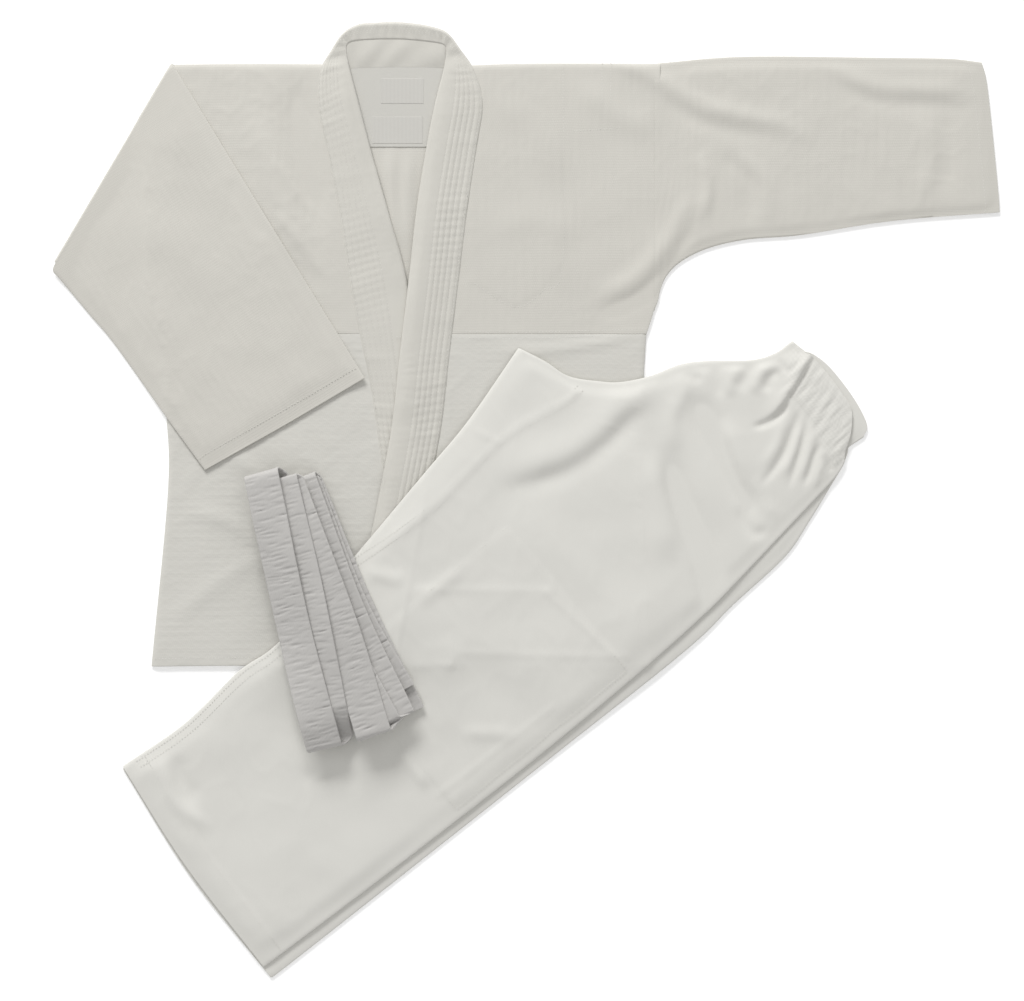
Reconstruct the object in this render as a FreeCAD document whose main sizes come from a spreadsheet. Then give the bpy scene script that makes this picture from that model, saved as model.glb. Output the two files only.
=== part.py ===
import FreeCAD, Part
import Sketcher
import math
import os

# A martial arts uniform lying flat and folded: a wrap jacket with its right sleeve turned over the
# body, trousers folded leg on leg across the jacket's lower corner, and a belt folded in a fan on
# top. Millimetres, +Z up, origin under the middle of the whole pile on the surface it lies on.
# Right and left are the wearer's own; the jacket lies face up, so its right side is at low X.

doc = FreeCAD.newDocument("Uniform")
sheet = doc.addObject("Spreadsheet::Sheet", "Dims")

DIMENSIONS = [
    # cloth and trim thicknesses
    ("cloth", 1.2), ("twill", 0.8), ("lining", 0.6), ("lapel", 3.6), ("leaf", 1.0), ("band_turn", 2.5),
    ("gap", 0.3), ("fold_play", 1.0), ("label", 0.4), ("tape_width", 14),
    # jacket body, measured from its centre line
    ("centre_x", -140), ("shoulder_y", 500), ("hem_y", -192), ("waist_y", 190),
    ("body_half", 279), ("hem_half", 290), ("armhole_half", 295), ("underarm_y", 250), ("side_round", 1250),
    # neck and lapels
    ("neck_half", 56), ("neck_foot_y", 495), ("neck_top_y", 549), ("lapel_width", 57), ("cross_y", 244),
    ("lapel_step_x", -68), ("lapel_run", 66), ("yoke_y", 407),
    # sleeves
    ("sleeve_top", 422), ("sleeve_end", 416), ("cuff_width", 212), ("sleeve_root", 241), ("fold_run", 124),
    ("fold_width", 234), ("cuff_hem", 16), ("shoulder_fold_x", -405), ("sleeve_turn", 31.5),
    ("cuff_x", 544), ("cuff_low_y", 331), ("gusset_reach", 51), ("gusset_rise", 70),
    # trousers, drawn with the outseam along +X from the hem and turned into place
    ("trousers_x", -292.7), ("trousers_y", -549), ("trousers_turn", 40),
    ("hem_width", 295), ("knee_width", 289), ("thigh_x", 508), ("thigh_width", 330),
    ("crotch_x", 683), ("crotch_y", 372), ("gather_x", 898), ("waist_x", 936), ("waist_low", 38),
    ("waist_high", 178), ("inner_leg_set", 14), ("gather", 12), ("elastic_width", 26), ("elastic", 2.5),
    ("knee_low_x", 285), ("knee_high_x", 538), ("knee_patch_width", 222),
    # belt
    ("belt_width", 40), ("belt_thick", 3.6), ("belt_pass", 322), ("belt_last_pass", 276),
    ("belt_x", -303), ("belt_y", 31), ("belt_spread", 48), ("belt_turn", 13.3), ("belt_fan", 13.5),
]
BELT_PASSES = 7

for row, (alias, size) in enumerate(DIMENSIONS, start=1):
    sheet.set(f"A{row}", alias)
    sheet.set(f"B{row}", str(size))
    sheet.setAlias(f"B{row}", alias)
doc.recompute()

PLACES = []      # (Label, object) of every piece that is written


def bound(formula):
    """An expression for setExpression, from plain dimension names."""
    words = {alias for alias, size in DIMENSIONS}
    out, word = "", ""
    for letter in str(formula) + " ":
        if letter.isalpha() or letter == "_":
            word += letter
            continue
        out += ("Dims." + word if word in words else word) + letter
        word = ""
    return out.strip()


def value(formula):
    return float(sheet.evalExpression(bound(formula)))


def arc_edge(start, end, radius):
    """An arc between two points that bulges to the left of the way from start to end if radius is
    positive; also says which of its two ends the way starts from."""
    chord = end - start
    half = chord.Length / 2
    left = FreeCAD.Vector(-chord.y, chord.x, 0).normalize()
    side = -1 if radius > 0 else 1
    centre = (start + end) * 0.5 + left * side * math.sqrt(radius * radius - half * half)
    first, last = (end, start) if radius > 0 else (start, end)
    angles = [math.atan2(p.y - centre.y, p.x - centre.x) for p in (first, last)]
    circle = Part.Circle(centre, FreeCAD.Vector(0, 0, 1), abs(radius))
    return Part.ArcOfCircle(circle, angles[0], angles[1]), (2, 1) if radius > 0 else (1, 2)


def outline(body, name, corners, height="0"):
    """A closed sketch through the corners, each (x, y) or (x, y, radius of the edge that follows)."""
    sketch = body.newObject("Sketcher::SketchObject", name)
    floor = [plane for plane in body.Origin.OriginFeatures if plane.Role == "XY_Plane"][0]
    sketch.AttachmentSupport = (floor, [""])
    sketch.MapMode = "FlatFace"
    sketch.setExpression("AttachmentOffset.Base.z", bound(height))
    points = [FreeCAD.Vector(value(c[0]), value(c[1]), 0) for c in corners]
    ends = []
    for index, corner in enumerate(corners):
        start, end = points[index], points[(index + 1) % len(points)]
        if len(corner) == 3:
            edge, way = arc_edge(start, end, value(corner[2]))
        else:
            edge, way = Part.LineSegment(start, end), (1, 2)
        sketch.addGeometry(edge, False)
        ends.append(way)
    rules, formulas = [], []
    for index in range(len(corners)):
        after = (index + 1) % len(corners)
        rules.append(Sketcher.Constraint("Coincident", index, ends[index][1], after, ends[after][0]))
        formulas.append(None)
    for index, corner in enumerate(corners):
        first = ends[index][0]
        rules.append(Sketcher.Constraint("DistanceX", -1, 1, index, first, points[index].x))
        formulas.append(corner[0])
        rules.append(Sketcher.Constraint("DistanceY", -1, 1, index, first, points[index].y))
        formulas.append(corner[1])
        if len(corner) == 3:
            rules.append(Sketcher.Constraint("Radius", index, abs(value(corner[2]))))
            formulas.append(str(corner[2]).lstrip("-"))
    sketch.addConstraint(rules)
    for number, formula in enumerate(formulas):
        if formula is not None:
            sketch.setExpression(f"Constraints[{number}]", bound(formula))
    return sketch


def piece(label, level="0", place=None):
    """An empty body that lies at a level, and turned into its place if it has one."""
    body = doc.addObject("PartDesign::Body", label + "_body")
    body.Label = label
    body.setExpression(".Placement.Base.z", bound(level))
    if place is not None:
        x, y, turn = place
        body.Placement.Rotation = FreeCAD.Rotation(FreeCAD.Vector(0, 0, 1), value(turn))
        body.setExpression(".Placement.Base.x", bound(x))
        body.setExpression(".Placement.Base.y", bound(y))
        body.setExpression(".Placement.Rotation.Angle", bound(turn))
    PLACES.append((label, body))
    return body


def pad(body, corners, thick, height="0"):
    count = len(body.Group)
    feature = body.newObject("PartDesign::Pad", f"layer{count}")
    feature.Profile = outline(body, f"outline{count}", corners, height)
    feature.setExpression("Length", bound(thick))
    return feature


def pocket(body, corners, depth, height="0"):
    """A cut that rises from a height by a depth."""
    doc.recompute()
    before = body.Shape.Volume
    count = len(body.Group)
    feature = body.newObject("PartDesign::Pocket", f"cut{count}")
    feature.Profile = outline(body, f"outline{count}", corners, height)
    feature.setExpression("Length", bound(depth))
    feature.Reversed = True
    doc.recompute()
    assert body.Shape.Volume < before, body.Label
    return feature


def layer(label, corners, thick, level, place=None):
    body = piece(label, level, place)
    pad(body, corners, thick)
    return body


def mirrored(corners):
    """The same outline on the other side of the jacket's centre line."""
    out = []
    for corner in corners:
        x, y = corner[0], corner[1]
        rest = [f"-({r})" if not str(r).startswith("-") else str(r)[1:] for r in corner[2:]]
        out.append((f"2 * centre_x - ({x})", y, *rest))
    return out


# Levels of the pile, from the surface up.
FRONT = "cloth"
ON_FRONT = "2 * cloth"
OVER = f"{ON_FRONT} + lapel"
ON_OVER = f"{OVER} + cloth"
TOP_LAPEL = f"{ON_OVER} + lapel"
FOLDED = f"{ON_FRONT} + fold_play"
KNEE_LOW = f"{TOP_LAPEL} + gap"
LEG = f"{KNEE_LOW} + lining"
LEG_BACK = f"{LEG} + twill"
UPPER_LEG = f"{LEG_BACK} + twill + gap"
UPPER_FRONT = f"{UPPER_LEG} + twill"
ON_LEG = f"{UPPER_FRONT} + twill"
BELT = f"{ON_LEG} + lining + gap"

# Lines of the jacket that several panels share.
FOLD_DX = "(fold_width * cos(sleeve_turn) - fold_run * sin(sleeve_turn))"
FOLD_DY = "(fold_width * sin(sleeve_turn) + fold_run * cos(sleeve_turn))"
LEFT_SIDE, RIGHT_SIDE = "centre_x + body_half", "centre_x - body_half"
LEFT_HOLE, RIGHT_HOLE = "centre_x + armhole_half", "centre_x - armhole_half"
FOLD_AT_HOLE = f"shoulder_y - (shoulder_fold_x - ({RIGHT_HOLE})) * {FOLD_DY} / {FOLD_DX}"
LAPEL_EDGE = [("centre_x + neck_half - 9", "519"), ("centre_x + 27", "409"), ("centre_x + 15", "335"),
              ("centre_x + 5", "cross_y")]
LAPEL_LOW = [("centre_x - 15", "74"), ("centre_x - lapel_run", "hem_y")]
WAIST_LAPEL_X = "centre_x - 1"


def jacket_back():
    upper = [("shoulder_fold_x", "shoulder_y"), (RIGHT_HOLE, FOLD_AT_HOLE), (RIGHT_HOLE, "underarm_y"),
             (RIGHT_SIDE, "waist_y"), (LEFT_SIDE, "waist_y"), (LEFT_HOLE, "underarm_y"),
             (LEFT_HOLE, "shoulder_y")]
    layer("back_body", upper, "cloth", "0")
    skirt = [(RIGHT_SIDE, "waist_y", "side_round"), ("centre_x - hem_half", "hem_y"),
             ("centre_x + hem_half - 5", "hem_y", "side_round"), (LEFT_SIDE, "waist_y")]
    layer("back_skirt", skirt, "cloth", "0")
    yoke = [("centre_x - neck_half - 1", "neck_foot_y - 1"), ("centre_x + neck_half - 16", "neck_foot_y - 1"),
            ("centre_x + 25", "yoke_y"), ("centre_x - 38", "yoke_y")]
    layer("back_yoke_lining", yoke, "lining", FRONT)
    size_mark = [("centre_x - 36", "yoke_y + 2"), ("centre_x + 22", "yoke_y + 2"),
                 ("centre_x + 22", "yoke_y + 33"), ("centre_x - 36", "yoke_y + 33")]
    layer("size_label", size_mark, "label", f"{FRONT} + lining")
    neck_mark = [("centre_x - 26", "yoke_y + 48"), ("centre_x + 23", "yoke_y + 48"),
                 ("centre_x + 23", "yoke_y + 77"), ("centre_x - 26", "yoke_y + 77")]
    layer("neck_label", neck_mark, "label", f"{FRONT} + lining")


def right_front():
    upper = [("shoulder_fold_x", "shoulder_y"), (RIGHT_HOLE, FOLD_AT_HOLE), (RIGHT_HOLE, "underarm_y"),
             (RIGHT_SIDE, "waist_y"), ("centre_x + 12", "waist_y"), ("centre_x + 5", "cross_y"),
             ("centre_x - 41", "409"), ("centre_x - 62", "shoulder_y")]
    layer("right_front_body", upper, "cloth", FRONT)
    skirt = [(RIGHT_SIDE, "waist_y", "side_round"), ("centre_x - hem_half", "hem_y"),
             ("centre_x + lapel_run", "hem_y"), ("centre_x + 12", "waist_y")]
    layer("right_front_skirt", skirt, "cloth", FRONT)


def left_front():
    """The left front wraps over the right one, so its inner edge steps up over the right lapel."""
    upper = piece("left_front_body", FRONT)
    pad(upper, [("centre_x + neck_half - 9", "shoulder_y"), *LAPEL_EDGE[1:], ("lapel_step_x", "cross_y"),
                ("lapel_step_x", "waist_y"), (LEFT_SIDE, "waist_y"), (LEFT_HOLE, "underarm_y"),
                (LEFT_HOLE, "shoulder_y")], "cloth")
    raised = [LAPEL_EDGE[3], (WAIST_LAPEL_X, "waist_y"), ("lapel_step_x", "waist_y"),
              ("lapel_step_x", "cross_y")]
    pad(upper, raised, "cloth", "cloth + lapel")
    riser = [("lapel_step_x", "cross_y"), ("lapel_step_x", "waist_y"), ("lapel_step_x + cloth", "waist_y"),
             ("lapel_step_x + cloth", "cross_y")]
    pad(upper, riser, "2 * cloth + lapel")
    skirt = piece("left_front_skirt", FRONT)
    pad(skirt, [("lapel_step_x", "waist_y"), ("lapel_step_x", "hem_y"),
                ("centre_x + hem_half - 5", "hem_y", "side_round"), (LEFT_SIDE, "waist_y")], "cloth")
    pad(skirt, [(WAIST_LAPEL_X, "waist_y"), *LAPEL_LOW, ("lapel_step_x", "hem_y"),
                ("lapel_step_x", "waist_y")], "cloth", "cloth + lapel")
    pad(skirt, [("lapel_step_x", "waist_y"), ("lapel_step_x", "hem_y"), ("lapel_step_x + cloth", "hem_y"),
                ("lapel_step_x + cloth", "waist_y")], "2 * cloth + lapel")


def band(label, inner, outer, level):
    """A lapel or collar stretch: a folded cover, open along its stitched outer edge, and the core
    strip inside it. inner and outer run the same way along the band."""
    turned = [(f"{x} + ({side}) * band_turn", y) for x, y, side in inner]
    edge = [(x, y) for x, y, side in inner]
    across = list(reversed(outer))
    cover = piece(label + "_cover", level)
    pad(cover, edge + across, "lapel")
    pocket(cover, turned + across, "lapel - 2 * leaf", "leaf")
    core = piece(label + "_core", f"{level} + leaf")
    pad(core, turned + across, "lapel - 2 * leaf")


def lapels():
    right_inner = [("centre_x - 66", "520", -1), ("centre_x - 41", "407", -1), ("centre_x + 5", "cross_y", -1),
                   ("centre_x + 23", "74", -1), ("centre_x + lapel_run + 4", "hem_y", -1)]
    right_outer = [("centre_x - 70", "533"), ("centre_x - 101", "486"), ("centre_x - 77", "370"),
                   ("centre_x - 62", "cross_y"), ("centre_x - 40", "140"),
                   ("centre_x + lapel_run + 4 - lapel_width", "hem_y")]
    band("right_lapel", right_inner, right_outer, ON_FRONT)
    upper_inner = [(x, y, 1) for x, y in LAPEL_EDGE]
    upper_outer = [("centre_x + 50", "536"), ("centre_x + 93", "472"), ("centre_x + 73", "335"),
                   ("centre_x + 5 + lapel_width", "cross_y")]
    band("left_lapel_upper", upper_inner, upper_outer, ON_FRONT)
    lower_inner = [(*LAPEL_EDGE[3], 1), *[(x, y, 1) for x, y in LAPEL_LOW]]
    lower_outer = [("centre_x + 5 + lapel_width", "cross_y"), ("centre_x - 15 + lapel_width", "74"),
                   ("centre_x - lapel_run + lapel_width", "hem_y")]
    band("left_lapel_lower", lower_inner, lower_outer, ON_OVER)


def neck_band():
    """The back of the collar, which fills the gap between the tops of the two lapels."""
    rim = [("centre_x + 41", "neck_foot_y"), ("centre_x + 46", "519"), ("centre_x + 49", "536"),
           ("centre_x + 28", "546"), ("centre_x - 16", "neck_top_y"), ("centre_x - 54", "547"),
           ("centre_x - 69", "533"), ("centre_x - 65", "520"), ("centre_x - 59", "neck_foot_y")]
    cover = piece("neck_band_cover", FRONT)
    pad(cover, rim, "lapel")
    strip = [("centre_x - 58", "neck_foot_y + 6"), ("centre_x + 40", "neck_foot_y + 6"),
             ("centre_x + 43", "519"), ("centre_x + 44", "534"), ("centre_x + 26", "541"),
             ("centre_x - 16", "544"), ("centre_x - 52", "542"), ("centre_x - 63", "531")]
    pocket(cover, strip, "lapel - 2 * leaf", "leaf")
    core = piece("neck_band_core", f"{FRONT} + leaf")
    pad(core, strip, "lapel - 2 * leaf")


def jacket_trim():
    patch = [("centre_x + 96", "474"), ("centre_x + 76", "335"), ("centre_x + 66", "251"),
             ("centre_x + 76", "251", "-90"), ("centre_x + 183", "273"), ("centre_x + 183", "shoulder_y"),
             ("centre_x + 96", "shoulder_y")]
    layer("left_shoulder_patch", patch, "lining", ON_FRONT)
    right_patch = mirrored(patch)
    right_patch[0] = ("centre_x - 104", "486")
    right_patch[1] = ("centre_x - 80", "370")
    right_patch[6] = ("centre_x - 104", "shoulder_y")
    layer("right_shoulder_patch", right_patch, "lining", ON_FRONT)
    vent = [("centre_x + hem_half - 6 - tape_width", "hem_y + 1"), ("centre_x + hem_half - 7", "hem_y + 1"),
            ("centre_x + 277", "-20"), ("centre_x + 277 - tape_width", "-20")]
    layer("left_vent_tape", vent, "lining", ON_FRONT)
    right_vent = [("centre_x - hem_half + 1 + tape_width", "hem_y + 1"), ("centre_x - hem_half + 1", "hem_y + 1"),
                  ("centre_x - 271", "-20"), ("centre_x - 271 + tape_width", "-20")]
    layer("right_vent_tape", right_vent, "lining", ON_FRONT)


def right_sleeve():
    """The part of the right sleeve inside the fold line stays with the body, and the part beyond it is
    drawn with its top edge along -Y and turned over the body."""
    gusset = [(RIGHT_HOLE, "underarm_y"), (f"{RIGHT_HOLE} - gusset_reach", "underarm_y + 31"),
              (RIGHT_HOLE, "underarm_y + gusset_rise")]
    layer("right_underarm_gusset", gusset, "2 * cloth", "0")
    root = [(RIGHT_HOLE, FOLD_AT_HOLE), (f"shoulder_fold_x - {FOLD_DX}", f"shoulder_y - {FOLD_DY}"),
            (f"{RIGHT_HOLE} - gusset_reach", "underarm_y + 31"), (RIGHT_HOLE, "underarm_y + gusset_rise")]
    layer("right_sleeve_root_back", root, "cloth", "0")
    layer("right_sleeve_root_front", root, "cloth", FRONT)
    place = ("shoulder_fold_x", "shoulder_y", "sleeve_turn")
    tube = [("0", "-gap"), ("-fold_width", "-fold_run - gap"), ("-sleeve_root", "-fold_run - 6"),
            ("-cuff_width - 1", "cuff_hem - sleeve_end"), ("0", "cuff_hem - sleeve_top")]
    layer("right_sleeve_front", tube, "cloth", FOLDED, place)
    layer("right_sleeve_back", tube, "cloth", f"{FOLDED} + cloth", place)
    hem = [("0", "cuff_hem - sleeve_top"), ("-cuff_width - 1", "cuff_hem - sleeve_end"),
           ("-cuff_width", "-sleeve_end"), ("0", "-sleeve_top")]
    layer("right_cuff_hem", hem, "2 * cloth", FOLDED, place)


def left_sleeve():
    gusset = [(f"{LEFT_HOLE} + gap", "underarm_y"), (f"{LEFT_HOLE} + gusset_reach", "underarm_y + 35"),
              (f"{LEFT_HOLE} + gap", "underarm_y + gusset_rise")]
    layer("left_underarm_gusset", gusset, "2 * cloth", "0")
    tube = [(f"{LEFT_HOLE} + gap", "underarm_y + gusset_rise"),
            (f"{LEFT_HOLE} + gusset_reach", "underarm_y + 35"), ("cuff_x - 124", "cuff_low_y - 11"),
            ("cuff_x - 2 - cuff_hem", "cuff_low_y"), ("cuff_x - cuff_hem", "342"), ("cuff_x - 13 - cuff_hem", "470"),
            ("cuff_x - 21 - cuff_hem", "505"), ("249", "shoulder_y + 9"), (f"{LEFT_HOLE} + gap", "shoulder_y + 2")]
    layer("left_sleeve_back", tube, "cloth", "0")
    layer("left_sleeve_front", tube, "cloth", FRONT)
    hem = [("cuff_x - 2 - cuff_hem", "cuff_low_y"), ("cuff_x - 2", "cuff_low_y"), ("cuff_x", "342"),
           ("cuff_x - 13", "470"), ("cuff_x - 21", "502"), ("cuff_x - 21 - cuff_hem", "505"),
           ("cuff_x - 13 - cuff_hem", "470"), ("cuff_x - cuff_hem", "342")]
    layer("left_cuff_hem", hem, "2 * cloth", "0")


TROUSERS = ("trousers_x", "trousers_y", "trousers_turn")
GUSSET_SEAM = [("376", "303"), ("482", "294"), ("600", "303"), ("692", "300")]


def leg_outline(outseam):
    """One leg from the hem to the gathered waist, less its share of the crotch gusset."""
    return [("0", f"{outseam} + 2"), ("409", f"{outseam} - 14"), ("607", f"{outseam} - 17"),
            ("763", f"{outseam} - 9"), ("gather_x - 38", "waist_low - 14"), ("gather_x", "waist_low"),
            ("gather_x", "waist_high"), ("841", "219"), ("778", "249"), ("729", "280"), *reversed(GUSSET_SEAM),
            ("255", "knee_width"), ("26", "hem_width")]


def gusset_outline():
    return [*GUSSET_SEAM, ("706", "307"), ("crotch_x", "crotch_y"), ("thigh_x", "thigh_width")]


def knee_outline(outseam):
    return [("knee_low_x", f"{outseam} - 2"), ("knee_high_x", f"{outseam} - 6"),
            ("knee_high_x", "knee_patch_width"), ("knee_low_x", "knee_patch_width")]


def waistband(side, level, thick):
    rim = [("gather_x", "waist_low"), ("waist_x", "waist_low + 6"), ("waist_x + 8", "125"),
           ("waist_x - 6", "waist_high - 2"), ("gather_x", "waist_high")]
    tunnel = [("gather_x + 5", "waist_low"), ("gather_x + 5 + elastic_width", "waist_low"),
              ("gather_x + 5 + elastic_width", "waist_high"), ("gather_x + 5", "waist_high")]
    casing = piece(side + "_waistband", level, TROUSERS)
    pad(casing, rim, thick)
    pocket(casing, tunnel, "elastic", f"({thick}) / 2")
    strip = [("gather_x + 5", "waist_low + 6"), ("gather_x + 5 + elastic_width", "waist_low + 6"),
             ("gather_x + 5 + elastic_width", "waist_high - 3"), ("gather_x + 5", "waist_high - 3")]
    layer(side + "_waist_elastic", strip, "elastic", f"{level} + ({thick}) / 2", TROUSERS)


def jacket_room():
    """The space that the jacket takes below the trousers, with a little play."""
    room = doc.addObject("PartDesign::Body", "jacket_room")
    pad(room, [(f"{RIGHT_SIDE} - 20", "hem_y - gap"), ("centre_x + hem_half + gap", "hem_y - gap"),
               ("centre_x + hem_half + gap", "underarm_y"), (f"{RIGHT_SIDE} - 20", "underarm_y")],
        f"{ON_FRONT} + lining + gap")
    pad(room, [("centre_x - lapel_run - 1", "hem_y - gap"), ("lapel_step_x + 10", "hem_y - gap"),
               ("lapel_step_x + 10", "underarm_y"), ("centre_x - 10", "underarm_y")], f"{TOP_LAPEL} + gap")
    return room


def right_leg():
    """The lower leg hangs down to the surface all round where it lies beyond the jacket."""
    shell = doc.addObject("PartDesign::Body", "leg_shell")
    rim = leg_outline("0")
    pad(shell, rim, f"{LEG} + twill")
    inner = []
    for x, y in rim:
        along = "+" if value(x) < value("thigh_x") else "-"
        across = "+" if value(y) < value("hem_width / 2") else "-"
        inner.append((f"{x} {along} leaf", f"{y} {across} leaf"))
    pocket(shell, inner, LEG)
    x, y, turn = TROUSERS
    shell.Placement.Rotation = FreeCAD.Rotation(FreeCAD.Vector(0, 0, 1), value(turn))
    shell.setExpression(".Placement.Base.x", bound(x))
    shell.setExpression(".Placement.Base.y", bound(y))
    shell.setExpression(".Placement.Rotation.Angle", bound(turn))
    front = doc.addObject("Part::Cut", "right_leg_front_cut")
    front.Label = "right_leg_front"
    front.Base = shell
    front.Tool = jacket_room()
    PLACES.append((front.Label, front))
    layer("right_knee_patch", knee_outline("2"), "lining", KNEE_LOW, TROUSERS)
    layer("right_leg_back", leg_outline("0"), "twill", LEG_BACK, TROUSERS)
    layer("right_crotch_gusset", gusset_outline(), "2 * twill", LEG, TROUSERS)
    waistband("right", "0", f"{LEG_BACK} + twill")


def left_leg():
    layer("left_leg_back", leg_outline("inner_leg_set"), "twill", UPPER_LEG, TROUSERS)
    layer("left_leg_front", leg_outline("inner_leg_set"), "twill", UPPER_FRONT, TROUSERS)
    layer("left_crotch_gusset", gusset_outline(), "2 * twill", UPPER_LEG, TROUSERS)
    layer("left_knee_patch", knee_outline("inner_leg_set"), "lining", ON_LEG, TROUSERS)
    waistband("left", UPPER_LEG, "gather - 3")


def belt():
    """Straight passes folded back and forth and fanned out from their upper end."""
    strap = piece("belt_strap", BELT)
    for number in range(BELT_PASSES):
        share = 1 - number / (BELT_PASSES - 1)
        reach = f"belt_pass + (belt_last_pass - belt_pass) * {share:.4f} * {share:.4f}"
        corners = [("-belt_width / 2", f"-({reach})"), ("belt_width / 2", f"-({reach})"),
                   ("belt_width / 2", "0"), ("-belt_width / 2", "0")]
        run = pad(strap, corners, "belt_thick", f"belt_thick * {number}")
        turn = bound(f"belt_turn + belt_fan * {share:.4f} * {share:.4f}")
        run.Profile[0].AttachmentOffset.Rotation = FreeCAD.Rotation(FreeCAD.Vector(0, 0, 1), 10)
        run.Profile[0].setExpression("AttachmentOffset.Base.x", bound(f"belt_x + belt_spread * {share:.4f}"))
        run.Profile[0].setExpression("AttachmentOffset.Base.y", bound(f"belt_y - 6 * {share:.4f}"))
        run.Profile[0].setExpression("AttachmentOffset.Rotation.Angle", turn)


jacket_back()
right_front()
left_front()
lapels()
neck_band()
jacket_trim()
right_sleeve()
left_sleeve()
right_leg()
left_leg()
belt()
doc.recompute()

for item in doc.Objects:
    assert "Invalid" not in item.State and "Error" not in item.State, (item.Label, item.State)
os.makedirs("parts", exist_ok=True)
for label, item in PLACES:
    assert not item.Shape.isNull() and item.Shape.isValid(), label
for label, item in PLACES:
    item.Shape.exportStep(os.path.join("parts", label + ".step"))
    box = item.Shape.BoundBox
    print(f"{label:26s} {len(item.Shape.Solids)} solid  {item.Shape.Volume / 1000:8.1f} cm3  "
          f"x {box.XMin:7.1f}..{box.XMax:7.1f}  y {box.YMin:7.1f}..{box.YMax:7.1f}  "
          f"z {box.ZMin:5.1f}..{box.ZMax:5.1f}")
print(len(PLACES), "pieces")
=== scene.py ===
import math

import bmesh
import bpy
import numpy as np
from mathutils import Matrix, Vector


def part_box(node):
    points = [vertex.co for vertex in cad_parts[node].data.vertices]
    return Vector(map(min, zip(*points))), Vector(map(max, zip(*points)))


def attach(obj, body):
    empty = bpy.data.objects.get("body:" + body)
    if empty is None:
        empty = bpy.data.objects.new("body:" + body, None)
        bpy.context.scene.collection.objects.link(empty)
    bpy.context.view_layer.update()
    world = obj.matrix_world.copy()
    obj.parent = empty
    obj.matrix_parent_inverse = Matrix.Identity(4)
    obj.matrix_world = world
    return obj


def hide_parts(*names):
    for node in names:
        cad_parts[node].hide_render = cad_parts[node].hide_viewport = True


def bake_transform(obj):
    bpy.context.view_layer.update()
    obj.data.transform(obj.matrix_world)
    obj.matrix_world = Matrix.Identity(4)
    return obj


# A martial arts uniform lying flat: wrap jacket, folded trousers and a folded belt.
# Shapes are worked out in millimetres in the frame's axes and written to meshes in metres. Each cloth
# is draped on the pile of the cloths laid before it, a field of heights that grows from piece to piece.

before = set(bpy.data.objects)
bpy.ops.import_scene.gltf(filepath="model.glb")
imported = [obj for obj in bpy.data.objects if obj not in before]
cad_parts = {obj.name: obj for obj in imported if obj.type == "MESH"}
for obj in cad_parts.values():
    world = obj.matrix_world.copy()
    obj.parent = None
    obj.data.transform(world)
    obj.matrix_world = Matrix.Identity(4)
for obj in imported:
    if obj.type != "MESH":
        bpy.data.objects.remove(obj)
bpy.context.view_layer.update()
MM = 0.001
rng = np.random.default_rng(20)


def side(node, corner, axis):
    """One side of a CAD node's box, in millimetres."""
    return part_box(node)[corner][axis] / MM


SHOULDER = side("back_body", 1, 1)
WAIST = side("back_body", 0, 1)
HEM = side("back_skirt", 0, 1)
CUFF = side("left_cuff_hem", 1, 0)
ARMHOLE = side("back_body", 1, 0)
# the trousers' own frame starts at the folded hem's corner on the outseam
TROUSERS = (-292.7, -549.0)
TROUSERS_TURN = math.radians(40)

# ---------------------------------------------------------------- fields on a grid of the floor
CELL = 2.0
EDGE = 590.0
COUNT = int(2 * EDGE / CELL) + 1
AXIS = -EDGE + CELL * np.arange(COUNT)
GX, GY = np.meshgrid(AXIS, AXIS, indexing="ij")


def zeros():
    """A field of zeros."""
    return np.zeros((COUNT, COUNT))


def blur(field, sigma):
    """A Gaussian blur with its width in millimetres."""
    reach = max(1, int(round(3 * sigma / CELL)))
    taps = np.exp(-0.5 * (np.arange(-reach, reach + 1) * CELL / sigma) ** 2)
    taps /= taps.sum()
    for axis in (0, 1):
        wide = np.pad(field, [(reach, reach) if a == axis else (0, 0) for a in (0, 1)], mode="edge")
        out = np.zeros_like(field)
        for number, tap in enumerate(taps):
            part = [slice(None), slice(None)]
            part[axis] = slice(number, number + COUNT)
            out += tap * wide[tuple(part)]
        field = out
    return field


def read(field, points):
    """The field's value at points, by bilinear interpolation."""
    at = np.clip((np.asarray(points)[..., :2] + EDGE) / CELL, 0, COUNT - 1.001)
    low = at.astype(int)
    share = at - low
    i, j = low[..., 0], low[..., 1]
    s, t = share[..., 0], share[..., 1]
    return (field[i, j] * (1 - s) * (1 - t) + field[i + 1, j] * s * (1 - t)
            + field[i, j + 1] * (1 - s) * t + field[i + 1, j + 1] * s * t)


def inside(ring):
    """True in the cells inside a closed ring of points."""
    ring = np.asarray(ring, float)
    hit = np.zeros((COUNT, COUNT), bool)
    for (x0, y0), (x1, y1) in zip(ring, np.roll(ring, -1, axis=0)):
        if abs(y1 - y0) < 1e-9:
            continue
        crosses = ((GY >= min(y0, y1)) & (GY < max(y0, y1))
                   & (GX < x0 + (GY - y0) * (x1 - x0) / (y1 - y0)))
        hit ^= crosses
    return hit


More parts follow.
